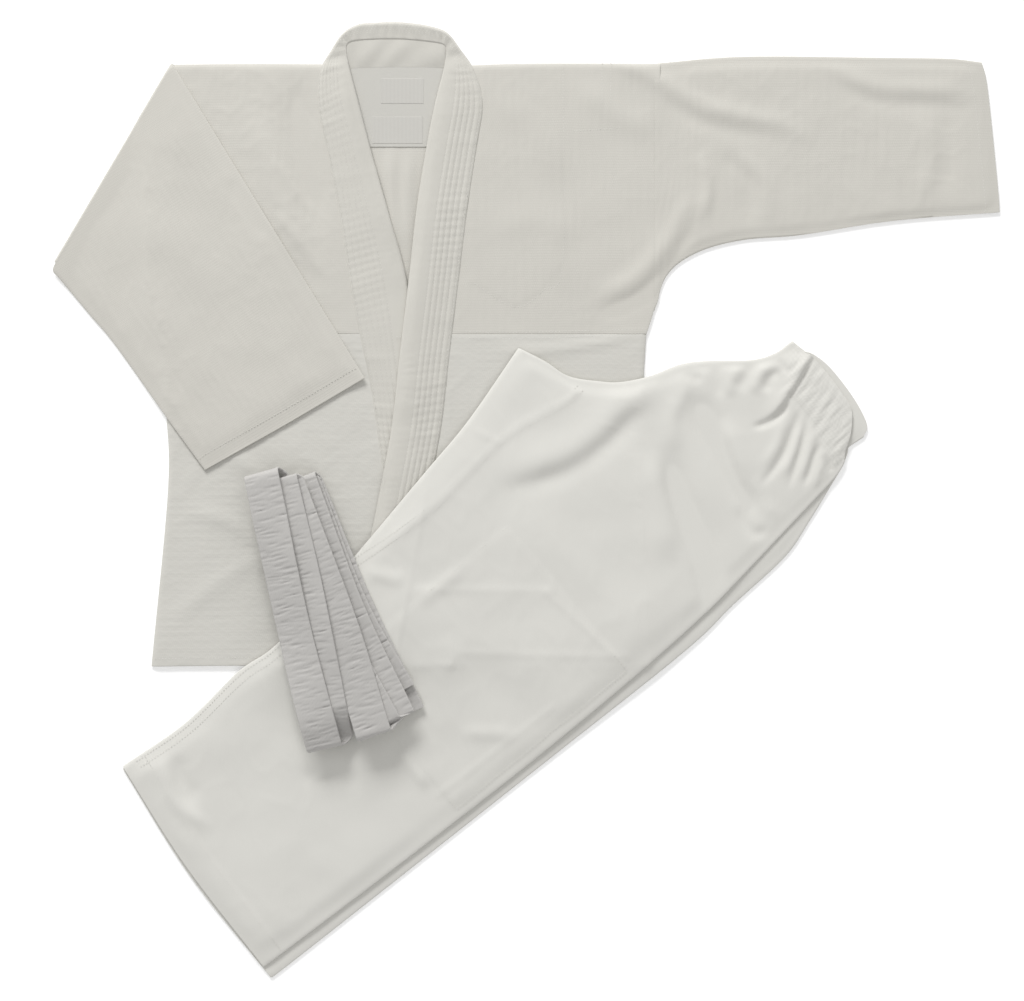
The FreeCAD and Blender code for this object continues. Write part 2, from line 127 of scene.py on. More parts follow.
def curve(points, step=4.0, with_marks=False):
    """A smooth line through the points, as close points; a point given twice is a sharp corner.
    The marks are where the given points are on the line."""
    p = np.asarray(points, float)
    cuts = [0, *[i + 1 for i in range(len(p) - 1) if np.allclose(p[i], p[i + 1])], len(p)]
    line, marks = [], []
    for first, last in zip(cuts, cuts[1:]):
        q = p[first:last]
        ends = np.vstack([2 * q[0] - q[1], q, 2 * q[-1] - q[-2]])
        for a, b, c, d in zip(ends, ends[1:], ends[2:], ends[3:]):
            count = max(2, int(np.linalg.norm(c - b) / step))
            t = np.linspace(0, 1, count, endpoint=False)[:, None]
            marks.append(sum(map(len, line)))
            line.append(0.5 * (2 * b + (c - a) * t + (2 * a - 5 * b + 4 * c - d) * t ** 2
                               + (3 * b - 3 * c + d - a) * t ** 3))
    marks.append(sum(map(len, line)))
    line = np.vstack([*line, p[-1:]])
    return (line, marks) if with_marks else line


def along(points):
    """How far along a line of points each point is."""
    gaps = np.linalg.norm(np.diff(points, axis=0), axis=1)
    return np.concatenate([[0], np.cumsum(gaps)])


def spread(points, shares):
    """Points on a line at shares of its length."""
    run = along(points)
    return np.stack([np.interp(np.asarray(shares) * run[-1], run, points[:, a])
                     for a in range(points.shape[1])], axis=-1)


def from_line(points, reach):
    """Signed distance (left of the line is positive) and share along it, in a window round it."""
    low = np.clip(((points.min(0) - reach + EDGE) / CELL).astype(int), 0, COUNT - 1)
    high = np.clip(((points.max(0) + reach + EDGE) / CELL).astype(int) + 2, 1, COUNT)
    window = (slice(low[0], high[0]), slice(low[1], high[1]))
    x, y = GX[window], GY[window]
    best = np.full(x.shape, 1e9)
    signed, share = np.zeros(x.shape), np.zeros(x.shape)
    run = along(points)
    for number in range(len(points) - 1):
        a, b = points[number], points[number + 1]
        d = b - a
        length = max(float(d @ d), 1e-9)
        t = np.clip(((x - a[0]) * d[0] + (y - a[1]) * d[1]) / length, 0, 1)
        dx, dy = x - a[0] - t * d[0], y - a[1] - t * d[1]
        far = np.hypot(dx, dy)
        nearer = far < best
        best = np.where(nearer, far, best)
        sign = np.sign(d[0] * dy - d[1] * dx)
        signed = np.where(nearer, far * np.where(sign == 0, 1, sign), signed)
        share = np.where(nearer, (run[number] + t * math.sqrt(length)) / run[-1], share)
    return window, signed, share


def crease(field, points, height, left, right=None, ends=0.3):
    """Adds a ridge (or with a negative height a valley) along a line, as wide on each side as given,
    that fades out over a share of its length at both ends."""
    right = left if right is None else right
    line = curve(points, 6.0)
    window, signed, share = from_line(line, 3 * max(left, right))
    width = np.where(signed > 0, left, right)
    fade = np.clip(share / ends, 0, 1) * np.clip((1 - share) / ends, 0, 1) if ends > 0 else 1.0
    fade = fade * fade * (3 - 2 * fade)
    field[window] += height * fade * np.exp(-(signed / width) ** 2)


def creases(field, rows):
    """Adds creases given as height, line and width."""
    for height, line, width in rows:
        crease(field, line, height, width)


def ribs(angle, pitch, spread_deg=8, count=14, jitter=0.25):
    """Rough parallel waves from -1 to 1 whose crests run at an angle."""
    out = zeros()
    for _ in range(count):
        turn = math.radians(angle + 90 + rng.normal(0, spread_deg))
        wave = 2 * math.pi / (pitch * (1 + rng.normal(0, jitter)))
        out += np.cos(wave * (GX * math.cos(turn) + GY * math.sin(turn)) + rng.uniform(0, 2 * math.pi))
    return out / math.sqrt(count)


def clouds(size):
    """Seeded soft lumps with a spread of 1."""
    field = blur(rng.normal(0, 1, (COUNT, COUNT)), size)
    return field / field.std()


def crumple(size, angle, spread_deg, count=36):
    """Irregular creases: sharp low ridges between broad hollows, mostly along an angle, from 0 to 1."""
    field = ribs(angle, 2 * size, spread_deg, count, 0.3)
    return np.clip(1 - np.abs(field) / 0.9, 0, 1) ** 2 * np.clip(0.5 + 0.5 * clouds(size * 1.5), 0, 1.4)


def soft_mask(ring, width):
    """1 inside a ring and 0 outside it, with a soft border."""
    return np.clip(blur(inside(ring).astype(float), width), 0, 1)


def drape(field, widths=(16, 10, 6, 4), repeats=3):
    """The height of a cloth laid over a field: it bridges hollows beside steps."""
    out = field.copy()
    for width in widths:
        for _ in range(repeats):
            out = np.maximum(field, blur(out, width))
    return out


# ---------------------------------------------------------------- meshes
PITCH = 3.0         # spacing of the vertices
RIM = 1.2           # width of the finer rows beside a border
WALL = 1.0          # one layer of cloth in a tube
TUBE_EDGE = 1.8     # radius of a tube's folded long edges
SHARP = math.radians(55)
pieces = {}


def rounded(distance, radius):
    """0 at an edge, rising as a quarter circle to 1 a radius away."""
    return np.sqrt(np.clip(1 - (1 - np.clip(distance / radius, 0, 1)) ** 2, 0, 1))


def ease(share):
    """A smooth step from 0 to 1."""
    t = np.clip(share, 0, 1)
    return t * t * (3 - 2 * t)


def flattened(air, ring, least, width):
    """The air inside a flat tube, which comes down towards its borders."""
    return least + (air - least) * ease(2 * soft_mask(ring, width) - 1)


def turned(points, angle):
    """Points read in axes turned by an angle."""
    c, s = math.cos(angle), math.sin(angle)
    return np.stack([points[..., 0] * c + points[..., 1] * s, points[..., 1] * c - points[..., 0] * s], -1)


def stations(length, pitch):
    """Distances along a length, with closer ones beside both ends."""
    near = np.array([0, 0.12, 0.4, 1.0]) * RIM
    count = max(2, int(round((length - 2 * RIM) / pitch)))
    middle = np.linspace(RIM, length - RIM, count + 1)[1:-1]
    return np.concatenate([near, middle, length - near[::-1]])


def patch(bottom, top, left, right, pitch=PITCH):
    """A grid of points between four lines, with each point's distance from each of them.
    bottom and top run from left to right, left and right from bottom to top."""
    lines = [curve(line, 3.0) for line in (bottom, top, left, right)]
    wide = (along(lines[0])[-1] + along(lines[1])[-1]) / 2
    tall = (along(lines[2])[-1] + along(lines[3])[-1]) / 2
    across, up = stations(wide, pitch), stations(tall, pitch)
    u, v = across / wide, up / tall
    b, t = spread(lines[0], u), spread(lines[1], u)
    l, r = spread(lines[2], v), spread(lines[3], v)
    u2, v2 = u[:, None, None], v[None, :, None]
    grid = ((1 - v2) * b[:, None] + v2 * t[:, None] + (1 - u2) * l[None] + u2 * r[None]
            - (1 - u2) * (1 - v2) * b[0] - u2 * (1 - v2) * b[-1]
            - (1 - u2) * v2 * t[0] - u2 * v2 * t[-1])
    far = dict(left=across[:, None], right=(wide - across)[:, None], bottom=up[None], top=(tall - up)[None])
    return grid, {name: np.broadcast_to(values, grid.shape[:2]) for name, values in far.items()}


def quads(index):
    """The faces of a grid of vertex numbers."""
    return np.stack([index[:-1, :-1], index[1:, :-1], index[1:, 1:], index[:-1, 1:]], -1).reshape(-1, 4)


def mesh_piece(name, verts, faces, material, weave):
    """A mesh object from millimetres; weave is each vertex's place on the flat cloth."""
    mesh = bpy.data.meshes.new(name)
    verts = np.asarray(verts, float)
    faces = np.asarray(faces, np.int32)
    mesh.vertices.add(len(verts))
    mesh.vertices.foreach_set("co", (verts * MM).astype(np.float32).ravel())
    mesh.loops.add(faces.size)
    mesh.loops.foreach_set("vertex_index", faces.ravel())
    mesh.polygons.add(len(faces))
    mesh.polygons.foreach_set("loop_start", np.arange(0, faces.size, faces.shape[1], dtype=np.int32))
    mesh.polygons.foreach_set("use_smooth", np.ones(len(faces), bool))
    layer = mesh.attributes.new("weave", "FLOAT_VECTOR", "POINT")
    flat = np.zeros((len(verts), 3), np.float32)
    flat[:, :weave.shape[1]] = weave
    layer.data.foreach_set("vector", flat.ravel())
    mesh.update(calc_edges=True)
    mesh.validate()
    mesh.set_sharp_from_angle(angle=SHARP)
    obj = bpy.data.objects.new(name, mesh)
    bpy.context.scene.collection.objects.link(obj)
    mesh.materials.append(material)
    pieces[name] = obj
    return obj


def panel(name, lines, low, thick, material, drop=None, pitch=PITCH):
    """One layer of cloth laid on the field low, as two sheets of a grid that meet at its border. On
    the side named in drop it turns down to the table."""
    grid, sides = patch(*lines, pitch=pitch)
    base = read(low, grid)
    if drop:
        drop_width, drop_to = 7.0, 0.6
        base = drop_to + (base - drop_to) * rounded(sides[drop], drop_width)
    half = thick / 2 * rounded(np.minimum.reduce(list(sides.values())), thick / 2 + 0.4)
    middle = base + thick / 2
    upper, lower = np.dstack([grid, middle + half]), np.dstack([grid, middle - half])
    nu, nv = grid.shape[:2]
    first = np.arange(nu * nv).reshape(nu, nv)
    second = first.copy()
    second[1:-1, 1:-1] = nu * nv + np.arange((nu - 2) * (nv - 2)).reshape(nu - 2, nv - 2)
    verts = np.vstack([upper.reshape(-1, 3), lower[1:-1, 1:-1].reshape(-1, 3)])
    mesh_piece(name, verts, np.vstack([quads(first), quads(second)[:, ::-1]]), material, verts[:, :2])


def ring_piece(name, rows, flat, material):
    """A piece whose rows of points are closed rings; gives it and its vertex numbers."""
    n, m = rows.shape[:2]
    index = np.arange(n * m).reshape(n, m)
    index = np.hstack([index, index[:, :1]])
    return mesh_piece(name, rows.reshape(-1, 3), quads(index), material, flat.reshape(n * m, -1)), index


def layers(above, below, border, share):
    """A flat tube's two layers, which meet at its borders: the columns of its rings, and the heights
    of the rings outside and just inside the cloth."""
    middle = below + share * (above - below)
    shape = rounded(border, TUBE_EDGE)
    upper = middle + (above - middle) * shape
    under = middle + (below - middle) * shape
    columns = border.shape[1]
    back = np.arange(columns - 2, 0, -1)
    outside = np.concatenate([upper, under[:, back]], 1)
    within = np.concatenate([np.maximum(upper - WALL, middle + 0.15),
                             np.minimum(under + WALL, middle - 0.15)[:, back]], 1)
    return np.concatenate([np.arange(columns), back]), outside, within


def turned_in(body, within, flat, distance, width):
    """A hem turned inside a tube: its rings from the lip inwards, with their flat places."""
    keep = np.flatnonzero(distance <= width)
    if distance[0] > distance[-1]:
        keep = keep[::-1]
    inner = np.dstack([body[..., :2], within])[keep]
    edge, next_row = body[keep[0]], body[keep[3]]
    away = edge[:, :2] - next_row[:, :2]
    away /= np.maximum(np.linalg.norm(away, axis=-1, keepdims=True), 1e-6)
    lip = (edge + inner[0]) / 2
    lip[:, :2] += away * WALL * 0.5
    return np.vstack([lip[None], inner]), np.vstack([flat[keep[:1]], flat[keep]])


def tube(name, lines, low, high, material, hems, pitch=PITCH, thin=20.0, turn=0.0, mark=None):
    """A flattened tube, open at its left and right sides: an outer sheet on the fields high and low
    with a hem turned in at the ends named in hems. It thins out towards its long edges. The field
    mark goes into the third weave coordinate."""
    grid, sides = patch(*lines, pitch=pitch)
    below = read(low, grid)
    border = np.minimum(sides["bottom"], sides["top"])
    air = read(high, grid) - below
    above = below + 2.2 * WALL + (air - 2.2 * WALL) * ease(border / thin)
    ring, outside, within = layers(above, below, border, 0.4)
    body, flat = np.dstack([grid[:, ring], outside]), turned(grid, turn)[:, ring]
    rows, flats = [body], [flat]
    for end, width in hems.items():
        tail, tail_flat = turned_in(body, within, flat, sides[end][:, 0], width)
        at = 0 if end == "left" else len(rows)
        step = -1 if end == "left" else 1
        rows.insert(at, tail[::step])
        flats.insert(at, tail_flat[::step])
    verts, flats = np.vstack(rows), np.vstack(flats)
    if mark is not None:
        flats = np.dstack([flats, read(mark, verts[..., :2])])
    ring_piece(name, verts, flats, material)


def threads(name, blocks):
    """Stitches as one mesh: each is a thin double pyramid of six points, one group of them to a block."""
    points = np.concatenate(blocks)
    shape = np.array([[0, 2, 1], [0, 3, 2], [0, 4, 3], [0, 1, 4], [5, 1, 2], [5, 2, 3], [5, 3, 4], [5, 4, 1]])
    faces = 6 * np.arange(len(points))[:, None, None] + shape
    points = points.reshape(-1, 3)
    mesh_piece(name, points, faces.reshape(-1, 3), THREAD, points[:, :2])


def stitches(name, rows, field, rise=0.0):
    """Rows of thread stitches that lie on a field."""
    length, gap, half_width = 2.6, 1.2, 0.375
    blocks = []
    for row in rows:
        line = curve(row, 2.0)
        run = along(line)
        starts = np.arange(gap, run[-1] - length, length + gap)
        a, b = spread(line, starts / run[-1]), spread(line, (starts + length) / run[-1])
        mid, d = (a + b) / 2, b - a
        d /= np.maximum(np.linalg.norm(d, axis=1, keepdims=True), 1e-9)
        n = np.stack([-d[:, 1], d[:, 0]], -1) * half_width
        za, zb, zm = (read(field, points) + rise for points in (a, b, mid))
        ring = [(a, za - 0.15), (mid + n, zm + 0.075), (mid, zm + 0.37), (mid - n, zm + 0.075),
                (mid, zm - 0.3), (b, zb - 0.15)]
        blocks.append(np.stack([np.column_stack(corner) for corner in ring], 1))
    threads(name, blocks)


def raised_stitches(name, rows):
    """Stitches that follow lines which already carry their height."""
    length, gap, half_width = 2.6, 1.2, 0.35
    blocks = []
    for row in rows:
        run = along(row)
        starts = np.arange(1.0, run[-1] - 3, length + gap)
        a, b = spread(row, starts / run[-1]), spread(row, (starts + length) / run[-1])
        mid, d = (a + b) / 2, b - a
        d /= np.linalg.norm(d, axis=1, keepdims=True)
        n = np.column_stack([-d[:, 1], d[:, 0], np.zeros(len(d))]) * half_width
        up = np.array([0, 0, 1.0])
        blocks.append(np.stack([a - 0.15 * up, mid + n + 0.1 * up, mid + 0.38 * up, mid - n + 0.1 * up,
                                mid - 0.25 * up, b - 0.15 * up], 1))
    threads(name, blocks)


# ---------------------------------------------------------------- materials
def node_tools(material):
    """An empty node tree's helpers: add a node, join a value or socket to an input, do a sum."""
    material.use_nodes = True
    tree = material.node_tree
    tree.nodes.clear()

    def add(kind, **values):
        made = tree.nodes.new(kind)
        for key, item in values.items():
            setattr(made, key, item)
        return made

    def join(value, socket):
        if isinstance(value, (int, float, tuple)):
            socket.default_value = value
        else:
            tree.links.new(value, socket)

    def maths(operation, a, b=0.0):
        made = add("ShaderNodeMath", operation=operation)
        join(a, made.inputs[0])
        join(b, made.inputs[1])
        return made.outputs[0]

    return add, join, maths


def cloth(name, colour, weave, depth, hollow_shade, rough=0.92):
    """A woven cotton: its weave from the mesh's own flat coordinates in millimetres. depth is the weave's
    relief in millimetres, and the number after it how much painted shade darkens the weave's hollows."""
    material = bpy.data.materials.new(name)
    add, join, maths = node_tools(material)
    place = add("ShaderNodeAttribute", attribute_name="weave")
    parts = add("ShaderNodeSeparateXYZ")
    join(place.outputs["Vector"], parts.inputs[0])
    x, y, mark = parts.outputs
    wobble = add("ShaderNodeTexNoise", noise_dimensions="3D")
    wobble.inputs["Scale"].default_value = 0.035
    join(place.outputs["Vector"], wobble.inputs["Vector"])
    shift = maths("MULTIPLY", maths("SUBTRACT", wobble.outputs[0], 0.5), 3.0)
    x, y = maths("ADD", x, shift), maths("ADD", y, shift)

    def wave(value, pitch):
        return maths("COSINE", maths("MULTIPLY", value, 2 * math.pi / pitch))

    def grains(wide, tall):
        """Raised grains in rows that step by half a grain."""
        down = maths("DIVIDE", y, tall)
        row = maths("FLOOR", down)
        step = maths("MULTIPLY", maths("MODULO", maths("ABSOLUTE", row), 2.0), 0.5)
        a = maths("SUBTRACT", maths("FRACT", maths("ADD", maths("DIVIDE", x, wide), step)), 0.5)
        b = maths("SUBTRACT", maths("FRACT", down), 0.5)
        far = maths("ADD", maths("MULTIPLY", maths("MULTIPLY", a, a), 5.0),
                    maths("MULTIPLY", maths("MULTIPLY", b, b), 4.4))
        return maths("MAXIMUM", maths("SUBTRACT", 1.0, far), 0.0)

    if weave == "rice":
        height = grains(2.1, 3.0)
    elif weave == "diamond":
        one = maths("ABSOLUTE", wave(maths("ADD", x, maths("MULTIPLY", y, 1.6)), 24.0))
        two = maths("ABSOLUTE", wave(maths("SUBTRACT", x, maths("MULTIPLY", y, 1.6)), 24.0))
        lattice = maths("POWER", maths("MAXIMUM", one, two), 6.0)
        height = maths("ADD", maths("MULTIPLY", lattice, 0.45), maths("MULTIPLY", grains(2.4, 3.2), 0.35))
    elif weave == "twill":
        height = maths("MULTIPLY", wave(maths("ADD", x, maths("MULTIPLY", y, 0.6)), 1.3), 0.5)
        # fine gathers on rows of elastic where the piece is marked
        bent = maths("ADD", y, maths("MULTIPLY", wobble.outputs[0], 30.0))
        gathers = maths("ADD", maths("MULTIPLY", wave(bent, 3.4), 1.3), wave(x, 4.6))
        height = maths("ADD", height, maths("MULTIPLY", maths("MULTIPLY", gathers, mark), 0.5))
    elif weave == "quilt":
        height = maths("MULTIPLY", wave(maths("ADD", x, maths("MULTIPLY", y, 0.6)), 1.3), 0.5)
    elif weave == "rib":
        height = maths("MULTIPLY", maths("ADD", wave(x, 1.5), maths("MULTIPLY", wave(y, 1.1), 0.6)), 0.4)
    else:
        height = maths("MULTIPLY", maths("MULTIPLY", wave(x, 1.2), wave(y, 1.2)), 0.5)
    fibres = add("ShaderNodeTexNoise")
    fibres.inputs["Scale"].default_value = 0.9
    fibres.inputs["Detail"].default_value = 4.0
    join(place.outputs["Vector"], fibres.inputs["Vector"])
    height = maths("ADD", height, maths("MULTIPLY", fibres.outputs[0], 0.5))
    bump = add("ShaderNodeBump")
    bump.inputs["Strength"].default_value = 1.0
    bump.inputs["Distance"].default_value = depth * MM
    join(height, bump.inputs["Height"])
    patches = add("ShaderNodeTexNoise")
    patches.inputs["Scale"].default_value = 0.012
    patches.inputs["Detail"].default_value = 5.0
    join(place.outputs["Vector"], patches.inputs["Vector"])
    # painted shade: the colour is darker in the weave's hollows, and the fibre noise in the height also
    # varies the tone at random
    shade = maths("ADD", 1.0 - hollow_shade * 0.6, maths("MULTIPLY", height, hollow_shade))
    shade = maths("ADD", shade, maths("MULTIPLY", maths("SUBTRACT", patches.outputs[0], 0.5), 0.04))
    if weave == "quilt":
        # painted shade: the colour is darkened in narrow lines along the grooves of the rows of stitching
        past_first = maths("SUBTRACT", parts.outputs[1], QUILT_ROWS[0] * BAND_FLAT)
        row = maths("MAXIMUM", wave(past_first, ROW_PITCH), 0.0)
        outer = maths("GREATER_THAN", parts.outputs[1], QUILT_ROWS[0] * BAND_FLAT - ROW_PITCH / 4)
        line = maths("MULTIPLY", maths("POWER", row, 5.0), outer)
        shade = maths("SUBTRACT", shade, maths("MULTIPLY", line, 0.035))
    if weave == "stripe":
        shade = maths("ADD", shade, maths("MULTIPLY", wave(parts.outputs[0], 4.5), 0.015))
    mix = add("ShaderNodeMix", data_type="RGBA", blend_type="MULTIPLY")
    mix.inputs["Factor"].default_value = 1.0
    mix.inputs["A"].default_value = (*colour, 1.0)
    grey = add("ShaderNodeCombineColor")
    for channel in range(3):
        join(shade, grey.inputs[channel])
    join(grey.outputs[0], mix.inputs["B"])
    skin = add("ShaderNodeBsdfPrincipled")
    join(mix.outputs["Result"], skin.inputs["Base Color"])
    join(bump.outputs[0], skin.inputs["Normal"])
    join(maths("ADD", rough - 0.04, maths("MULTIPLY", fibres.outputs[0], 0.08)), skin.inputs["Roughness"])
    skin.inputs["Sheen Weight"].default_value = 0.25
    skin.inputs["Sheen Roughness"].default_value = 0.6
    skin.inputs["Specular IOR Level"].default_value = 0.2
    out = add("ShaderNodeOutputMaterial")
    join(skin.outputs[0], out.inputs["Surface"])
    return material


QUILT_ROWS = (0.40, 0.51, 0.62, 0.73, 0.84, 0.95)
BAND_FLAT = 57.0
ROW_PITCH = (QUILT_ROWS[1] - QUILT_ROWS[0]) * BAND_FLAT
RICE = cloth("rice_weave_cotton", (0.590, 0.573, 0.525), "rice", depth=0.08, hollow_shade=0.02)
DIAMOND = cloth("diamond_weave_cotton", (0.605, 0.593, 0.550), "diamond", depth=0.09, hollow_shade=0.02)
COLLAR = cloth("collar_twill_cotton", (0.610, 0.594, 0.545), "quilt", depth=0.10, hollow_shade=0.03)
LINING = cloth("lining_cotton", (0.575, 0.563, 0.523), "plain", depth=0.10, hollow_shade=0.03)
LABEL = cloth("label_satin", (0.560, 0.548, 0.512), "stripe", depth=0.06, hollow_shade=0.02, rough=0.8)
TWILL = cloth("trouser_twill_cotton", (0.685, 0.675, 0.633), "twill", depth=0.05, hollow_shade=0.03)
BELT = cloth("belt_cotton", (0.500, 0.487, 0.468), "rib", depth=0.15, hollow_shade=0.06)
THREAD = cloth("sewing_thread", (0.70, 0.69, 0.65), "rib", depth=0.05, hollow_shade=0.03)


# ---------------------------------------------------------------- jacket
CLOTH = 1.2
pile = zeros()
ripple = 0.5 * clouds(30) + 0.35 * clouds(14)


def lay(ring, field):
    """Puts a piece's top surface on the pile."""
    global pile
    pile = np.where(inside(ring), np.maximum(pile, field), pile)


def outline(left, right, *top):
    """A ring up the left lines, over the top points and down the right lines."""
    up = [point for line in left for point in line]
    down = [point for line in right for point in line]
    return [*up, *top, *reversed(down)]


# the body's outline and the fronts' free edges, from the hem up
RIGHT_SIDE = [(-430, HEM), (-411, 11), (-413, 100), (-419, WAIST)]
RIGHT_ARM = [(-419, WAIST), (-434, 250), (-437, 350), (-435, 449)]
LEFT_SIDE = [(145, HEM), (133, 0), (134, 100), (139, WAIST)]
LEFT_ARM = [(139, WAIST), (147, 215), (ARMHOLE, 250), (ARMHOLE, 380), (ARMHOLE, SHOULDER + 1)]
HEM_LINE = [(-430, HEM), (-300, HEM + 1), (-140, HEM), (0, HEM - 1), (145, HEM)]

RIGHT_TOP = [(-435, 449), (-405, SHOULDER), (-405, SHOULDER)]
RIGHT_INNER = [(-134, WAIST), (-143, 244), (-164, 320), (-190, 409), (-212, SHOULDER)]
RIGHT_SKIRT_INNER = [(-80, HEM), (-106, -60), (-125, 74), (-134, WAIST)]
LEFT_INNER = [(-133, WAIST), (-127, 244), (-117, 335), (-105, 409), (-88, SHOULDER - 2)]
LEFT_SKIRT_INNER = [(-196, HEM), (-171, -50), (-147, 74), (-133, WAIST)]

back_low = zeros() + 0.3
creases(back_low, [(3.2, [(-156, 414), (-154, 350), (-148, 280)], 7),
                   (2.6, [(-133, 412), (-136, 340), (-138, 270)], 6)])
panel("back_panel",
      ([RIGHT_ARM[0], LEFT_ARM[0]],
       [*RIGHT_TOP, (-200, SHOULDER - 4), (-76, SHOULDER - 4), (ARMHOLE, SHOULDER)], RIGHT_ARM, LEFT_ARM),
      back_low, CLOTH, RICE, pitch=5.0)
panel("back_skirt_panel", (HEM_LINE, [RIGHT_SIDE[-1], LEFT_SIDE[-1]], RIGHT_SIDE, LEFT_SIDE),
      back_low, CLOTH, DIAMOND, pitch=5.0)
lay(outline([RIGHT_SIDE, RIGHT_ARM], [LEFT_SIDE, LEFT_ARM[:-1]], (-405, SHOULDER), (ARMHOLE, SHOULDER)),
    back_low + CLOTH)

# yoke lining and labels at the back of the neck
YOKE_THICK, LABEL_THICK = 0.7, 0.32
yoke_low = drape(back_low + CLOTH, (6,), 1) + 0.15
low_corners, high_corners = [(-194, 405), (-102, 405)], [(-214, 503), (-82, 503)]
panel("neck_yoke", (low_corners, high_corners, *zip(low_corners, high_corners)), yoke_low, YOKE_THICK, LINING)
for name, x0, x1, y0, y1 in [("neck_label", -166, -117, 455, 484), ("size_label", -176, -118, 409, 440)]:
    low_edge, high_edge = [(x0, y0), (x1, y0)], [(x0, y1), (x1, y1)]
    panel(name + "_tag", (low_edge, high_edge, *zip(low_edge, high_edge)), yoke_low + YOKE_THICK - 0.02,
          LABEL_THICK, LABEL)
lay([*high_corners, *reversed(low_corners)], yoke_low + YOKE_THICK)

# right front, under everything else
right_low = drape(pile) + 0.15
right_air = 0.7 + 0.5 * np.clip(ripple, -1.2, 2)
creases(right_air, [
    (2.8, [(-318, 460), (-284, 356), (-246, 252)], 15), (-3.4, [(-268, 496), (-252, 400), (-230, 300)], 13),
    (1.2, [(-300, 340), (-262, 300), (-224, 244)], 6), (1.0, [(-296, 400), (-262, 352), (-230, 318)], 6),
    (-1.2, [(-290, 470), (-262, 380), (-240, 300)], 9), (1.2, [(-420, -150), (-330, -80), (-250, -60)], 12),
    (1.4, [(-400, -10), (-330, -30), (-270, -90)], 10), (1.6, [(-350, 70), (-300, 10), (-280, -60)], 12)])
right_air += 0.18 * ribs(0, 7.5, 6) * soft_mask([(-430, HEM), (-60, HEM), (-60, WAIST), (-430, WAIST)], 6)
right_air += 0.14 * ribs(88, 8.5, 7) * soft_mask([(-440, WAIST), (-60, WAIST), (-60, 520), (-440, 520)], 6)
right_air += 0.5 * crumple(26, 60, 50) + 0.2 * crumple(12, 30, 60)
# slanting wrinkles beside the lapel, where the front stands a little fuller
right_air += 0.28 * ribs(-48, 6.5, 6) * soft_mask([(-275, 498), (-240, 498), (-200, 235), (-262, 235)], 9)
right_air += 1.2 * soft_mask([(-340, 520), (-200, 520), (-190, 235), (-340, 235)], 22)
right_low = right_low + np.clip(right_air, 0.1, 6)
panel("right_front_panel",
      ([RIGHT_ARM[0], RIGHT_INNER[0]], [*RIGHT_TOP, (-300, SHOULDER + 1), (-212, SHOULDER)], RIGHT_ARM,
       RIGHT_INNER), right_low, CLOTH, RICE, drop="top")
panel("right_skirt_panel",
      ([(-430, HEM), (-300, HEM + 1), (-80, HEM)], [RIGHT_ARM[0], RIGHT_INNER[0]], RIGHT_SIDE,
       RIGHT_SKIRT_INNER), right_low, CLOTH, DIAMOND, drop="left")
lay(outline([RIGHT_SIDE, RIGHT_ARM], [RIGHT_SKIRT_INNER, RIGHT_INNER[:-1]],
            (-405, SHOULDER), (-212, SHOULDER)), right_low + CLOTH)


# ---------------------------------------------------------------- collar and lapels
BAND_THICK = 3.8
NECK_CREST = 5.2
# free edge, stitched edge and inside seam of the band, station by station from the right hem round
# the neck to the left hem; the last number is where the band lies: 0 right lapel, 1 neck, 2 left lapel
BAND = [
    ((-70, -192), (-127, -192), (-124, -192), 0), ((-94, -60), (-150, -60), (-147, -60), 0),
    ((-113, 50), (-168, 60), (-165, 60), 0), ((-122, 120), (-178, 130), (-175, 130), 0),
    ((-135, 244), (-199, 232), (-195, 232), 0), ((-156, 325), (-212, 318), (-207, 318), 0),
    ((-177, 400), (-226, 392), (-218, 394), 0), ((-194, 465), (-238, 452), (-224, 456), 0),
    ((-203, 500), (-236, 492), (-216, 486), 0.4), ((-205.5, 517), (-223, 517), (-208, 494), 0.9),
    ((-204, 524), (-210, 536), (-200, 495.5), 1), ((-196, 527), (-193, 546), (-190, 496), 1),
    ((-176, 528.5), (-176, 548), (-174, 496.5), 1), ((-150, 529), (-150, 549), (-150, 497), 1),
    ((-124, 527.5), (-126, 547), (-126, 497), 1), ((-104, 525), (-105, 543), (-106, 496.5), 1),
    ((-94, 522.5), (-89, 536), (-98, 496), 1), ((-91, 516), (-75, 518), (-90, 494), 1.1),
    ((-94, 495), (-58, 492), (-78, 484), 1.6), ((-104, 455), (-49, 455), (-64, 455), 2),
    ((-113, 409), (-56, 405), (-60, 405), 2), ((-125, 335), (-67, 332), (-71, 332), 2),
    ((-135, 244), (-78, 242), (-82, 242), 2), ((-145, 160), (-88, 160), (-92, 160), 2),
    ((-155, 74), (-98, 76), (-102, 76), 2), ((-179, -50), (-121, -46), (-125, -46), 2),
    ((-206, -192), (-149, -192), (-153, -192), 2)]


def band_lines():
    """The band's three edges and its place, resampled evenly along its length."""
    keys = np.arange(len(BAND), dtype=float)
    edges = [curve([s[k] for s in BAND], 3.0, with_marks=True) for k in (0, 1, 2)]
    shares = [along(line)[marks] / along(line)[-1] for line, marks in edges]
    lengths = [along(line)[-1] for line, marks in edges]
    # even steps along the mean of the free and the sewn edge
    mean = (shares[0] * lengths[0] + shares[1] * lengths[1]) / 2
    steps = np.linspace(0, mean[-1], int(mean[-1] / 2.6) + 1)
    at = np.interp(steps, mean, keys)
    out = [spread(line, np.interp(at, keys, share)) for (line, marks), share in zip(edges, shares)]
    return out[0], out[1], out[2], np.interp(at, keys, [s[3] for s in BAND]), steps


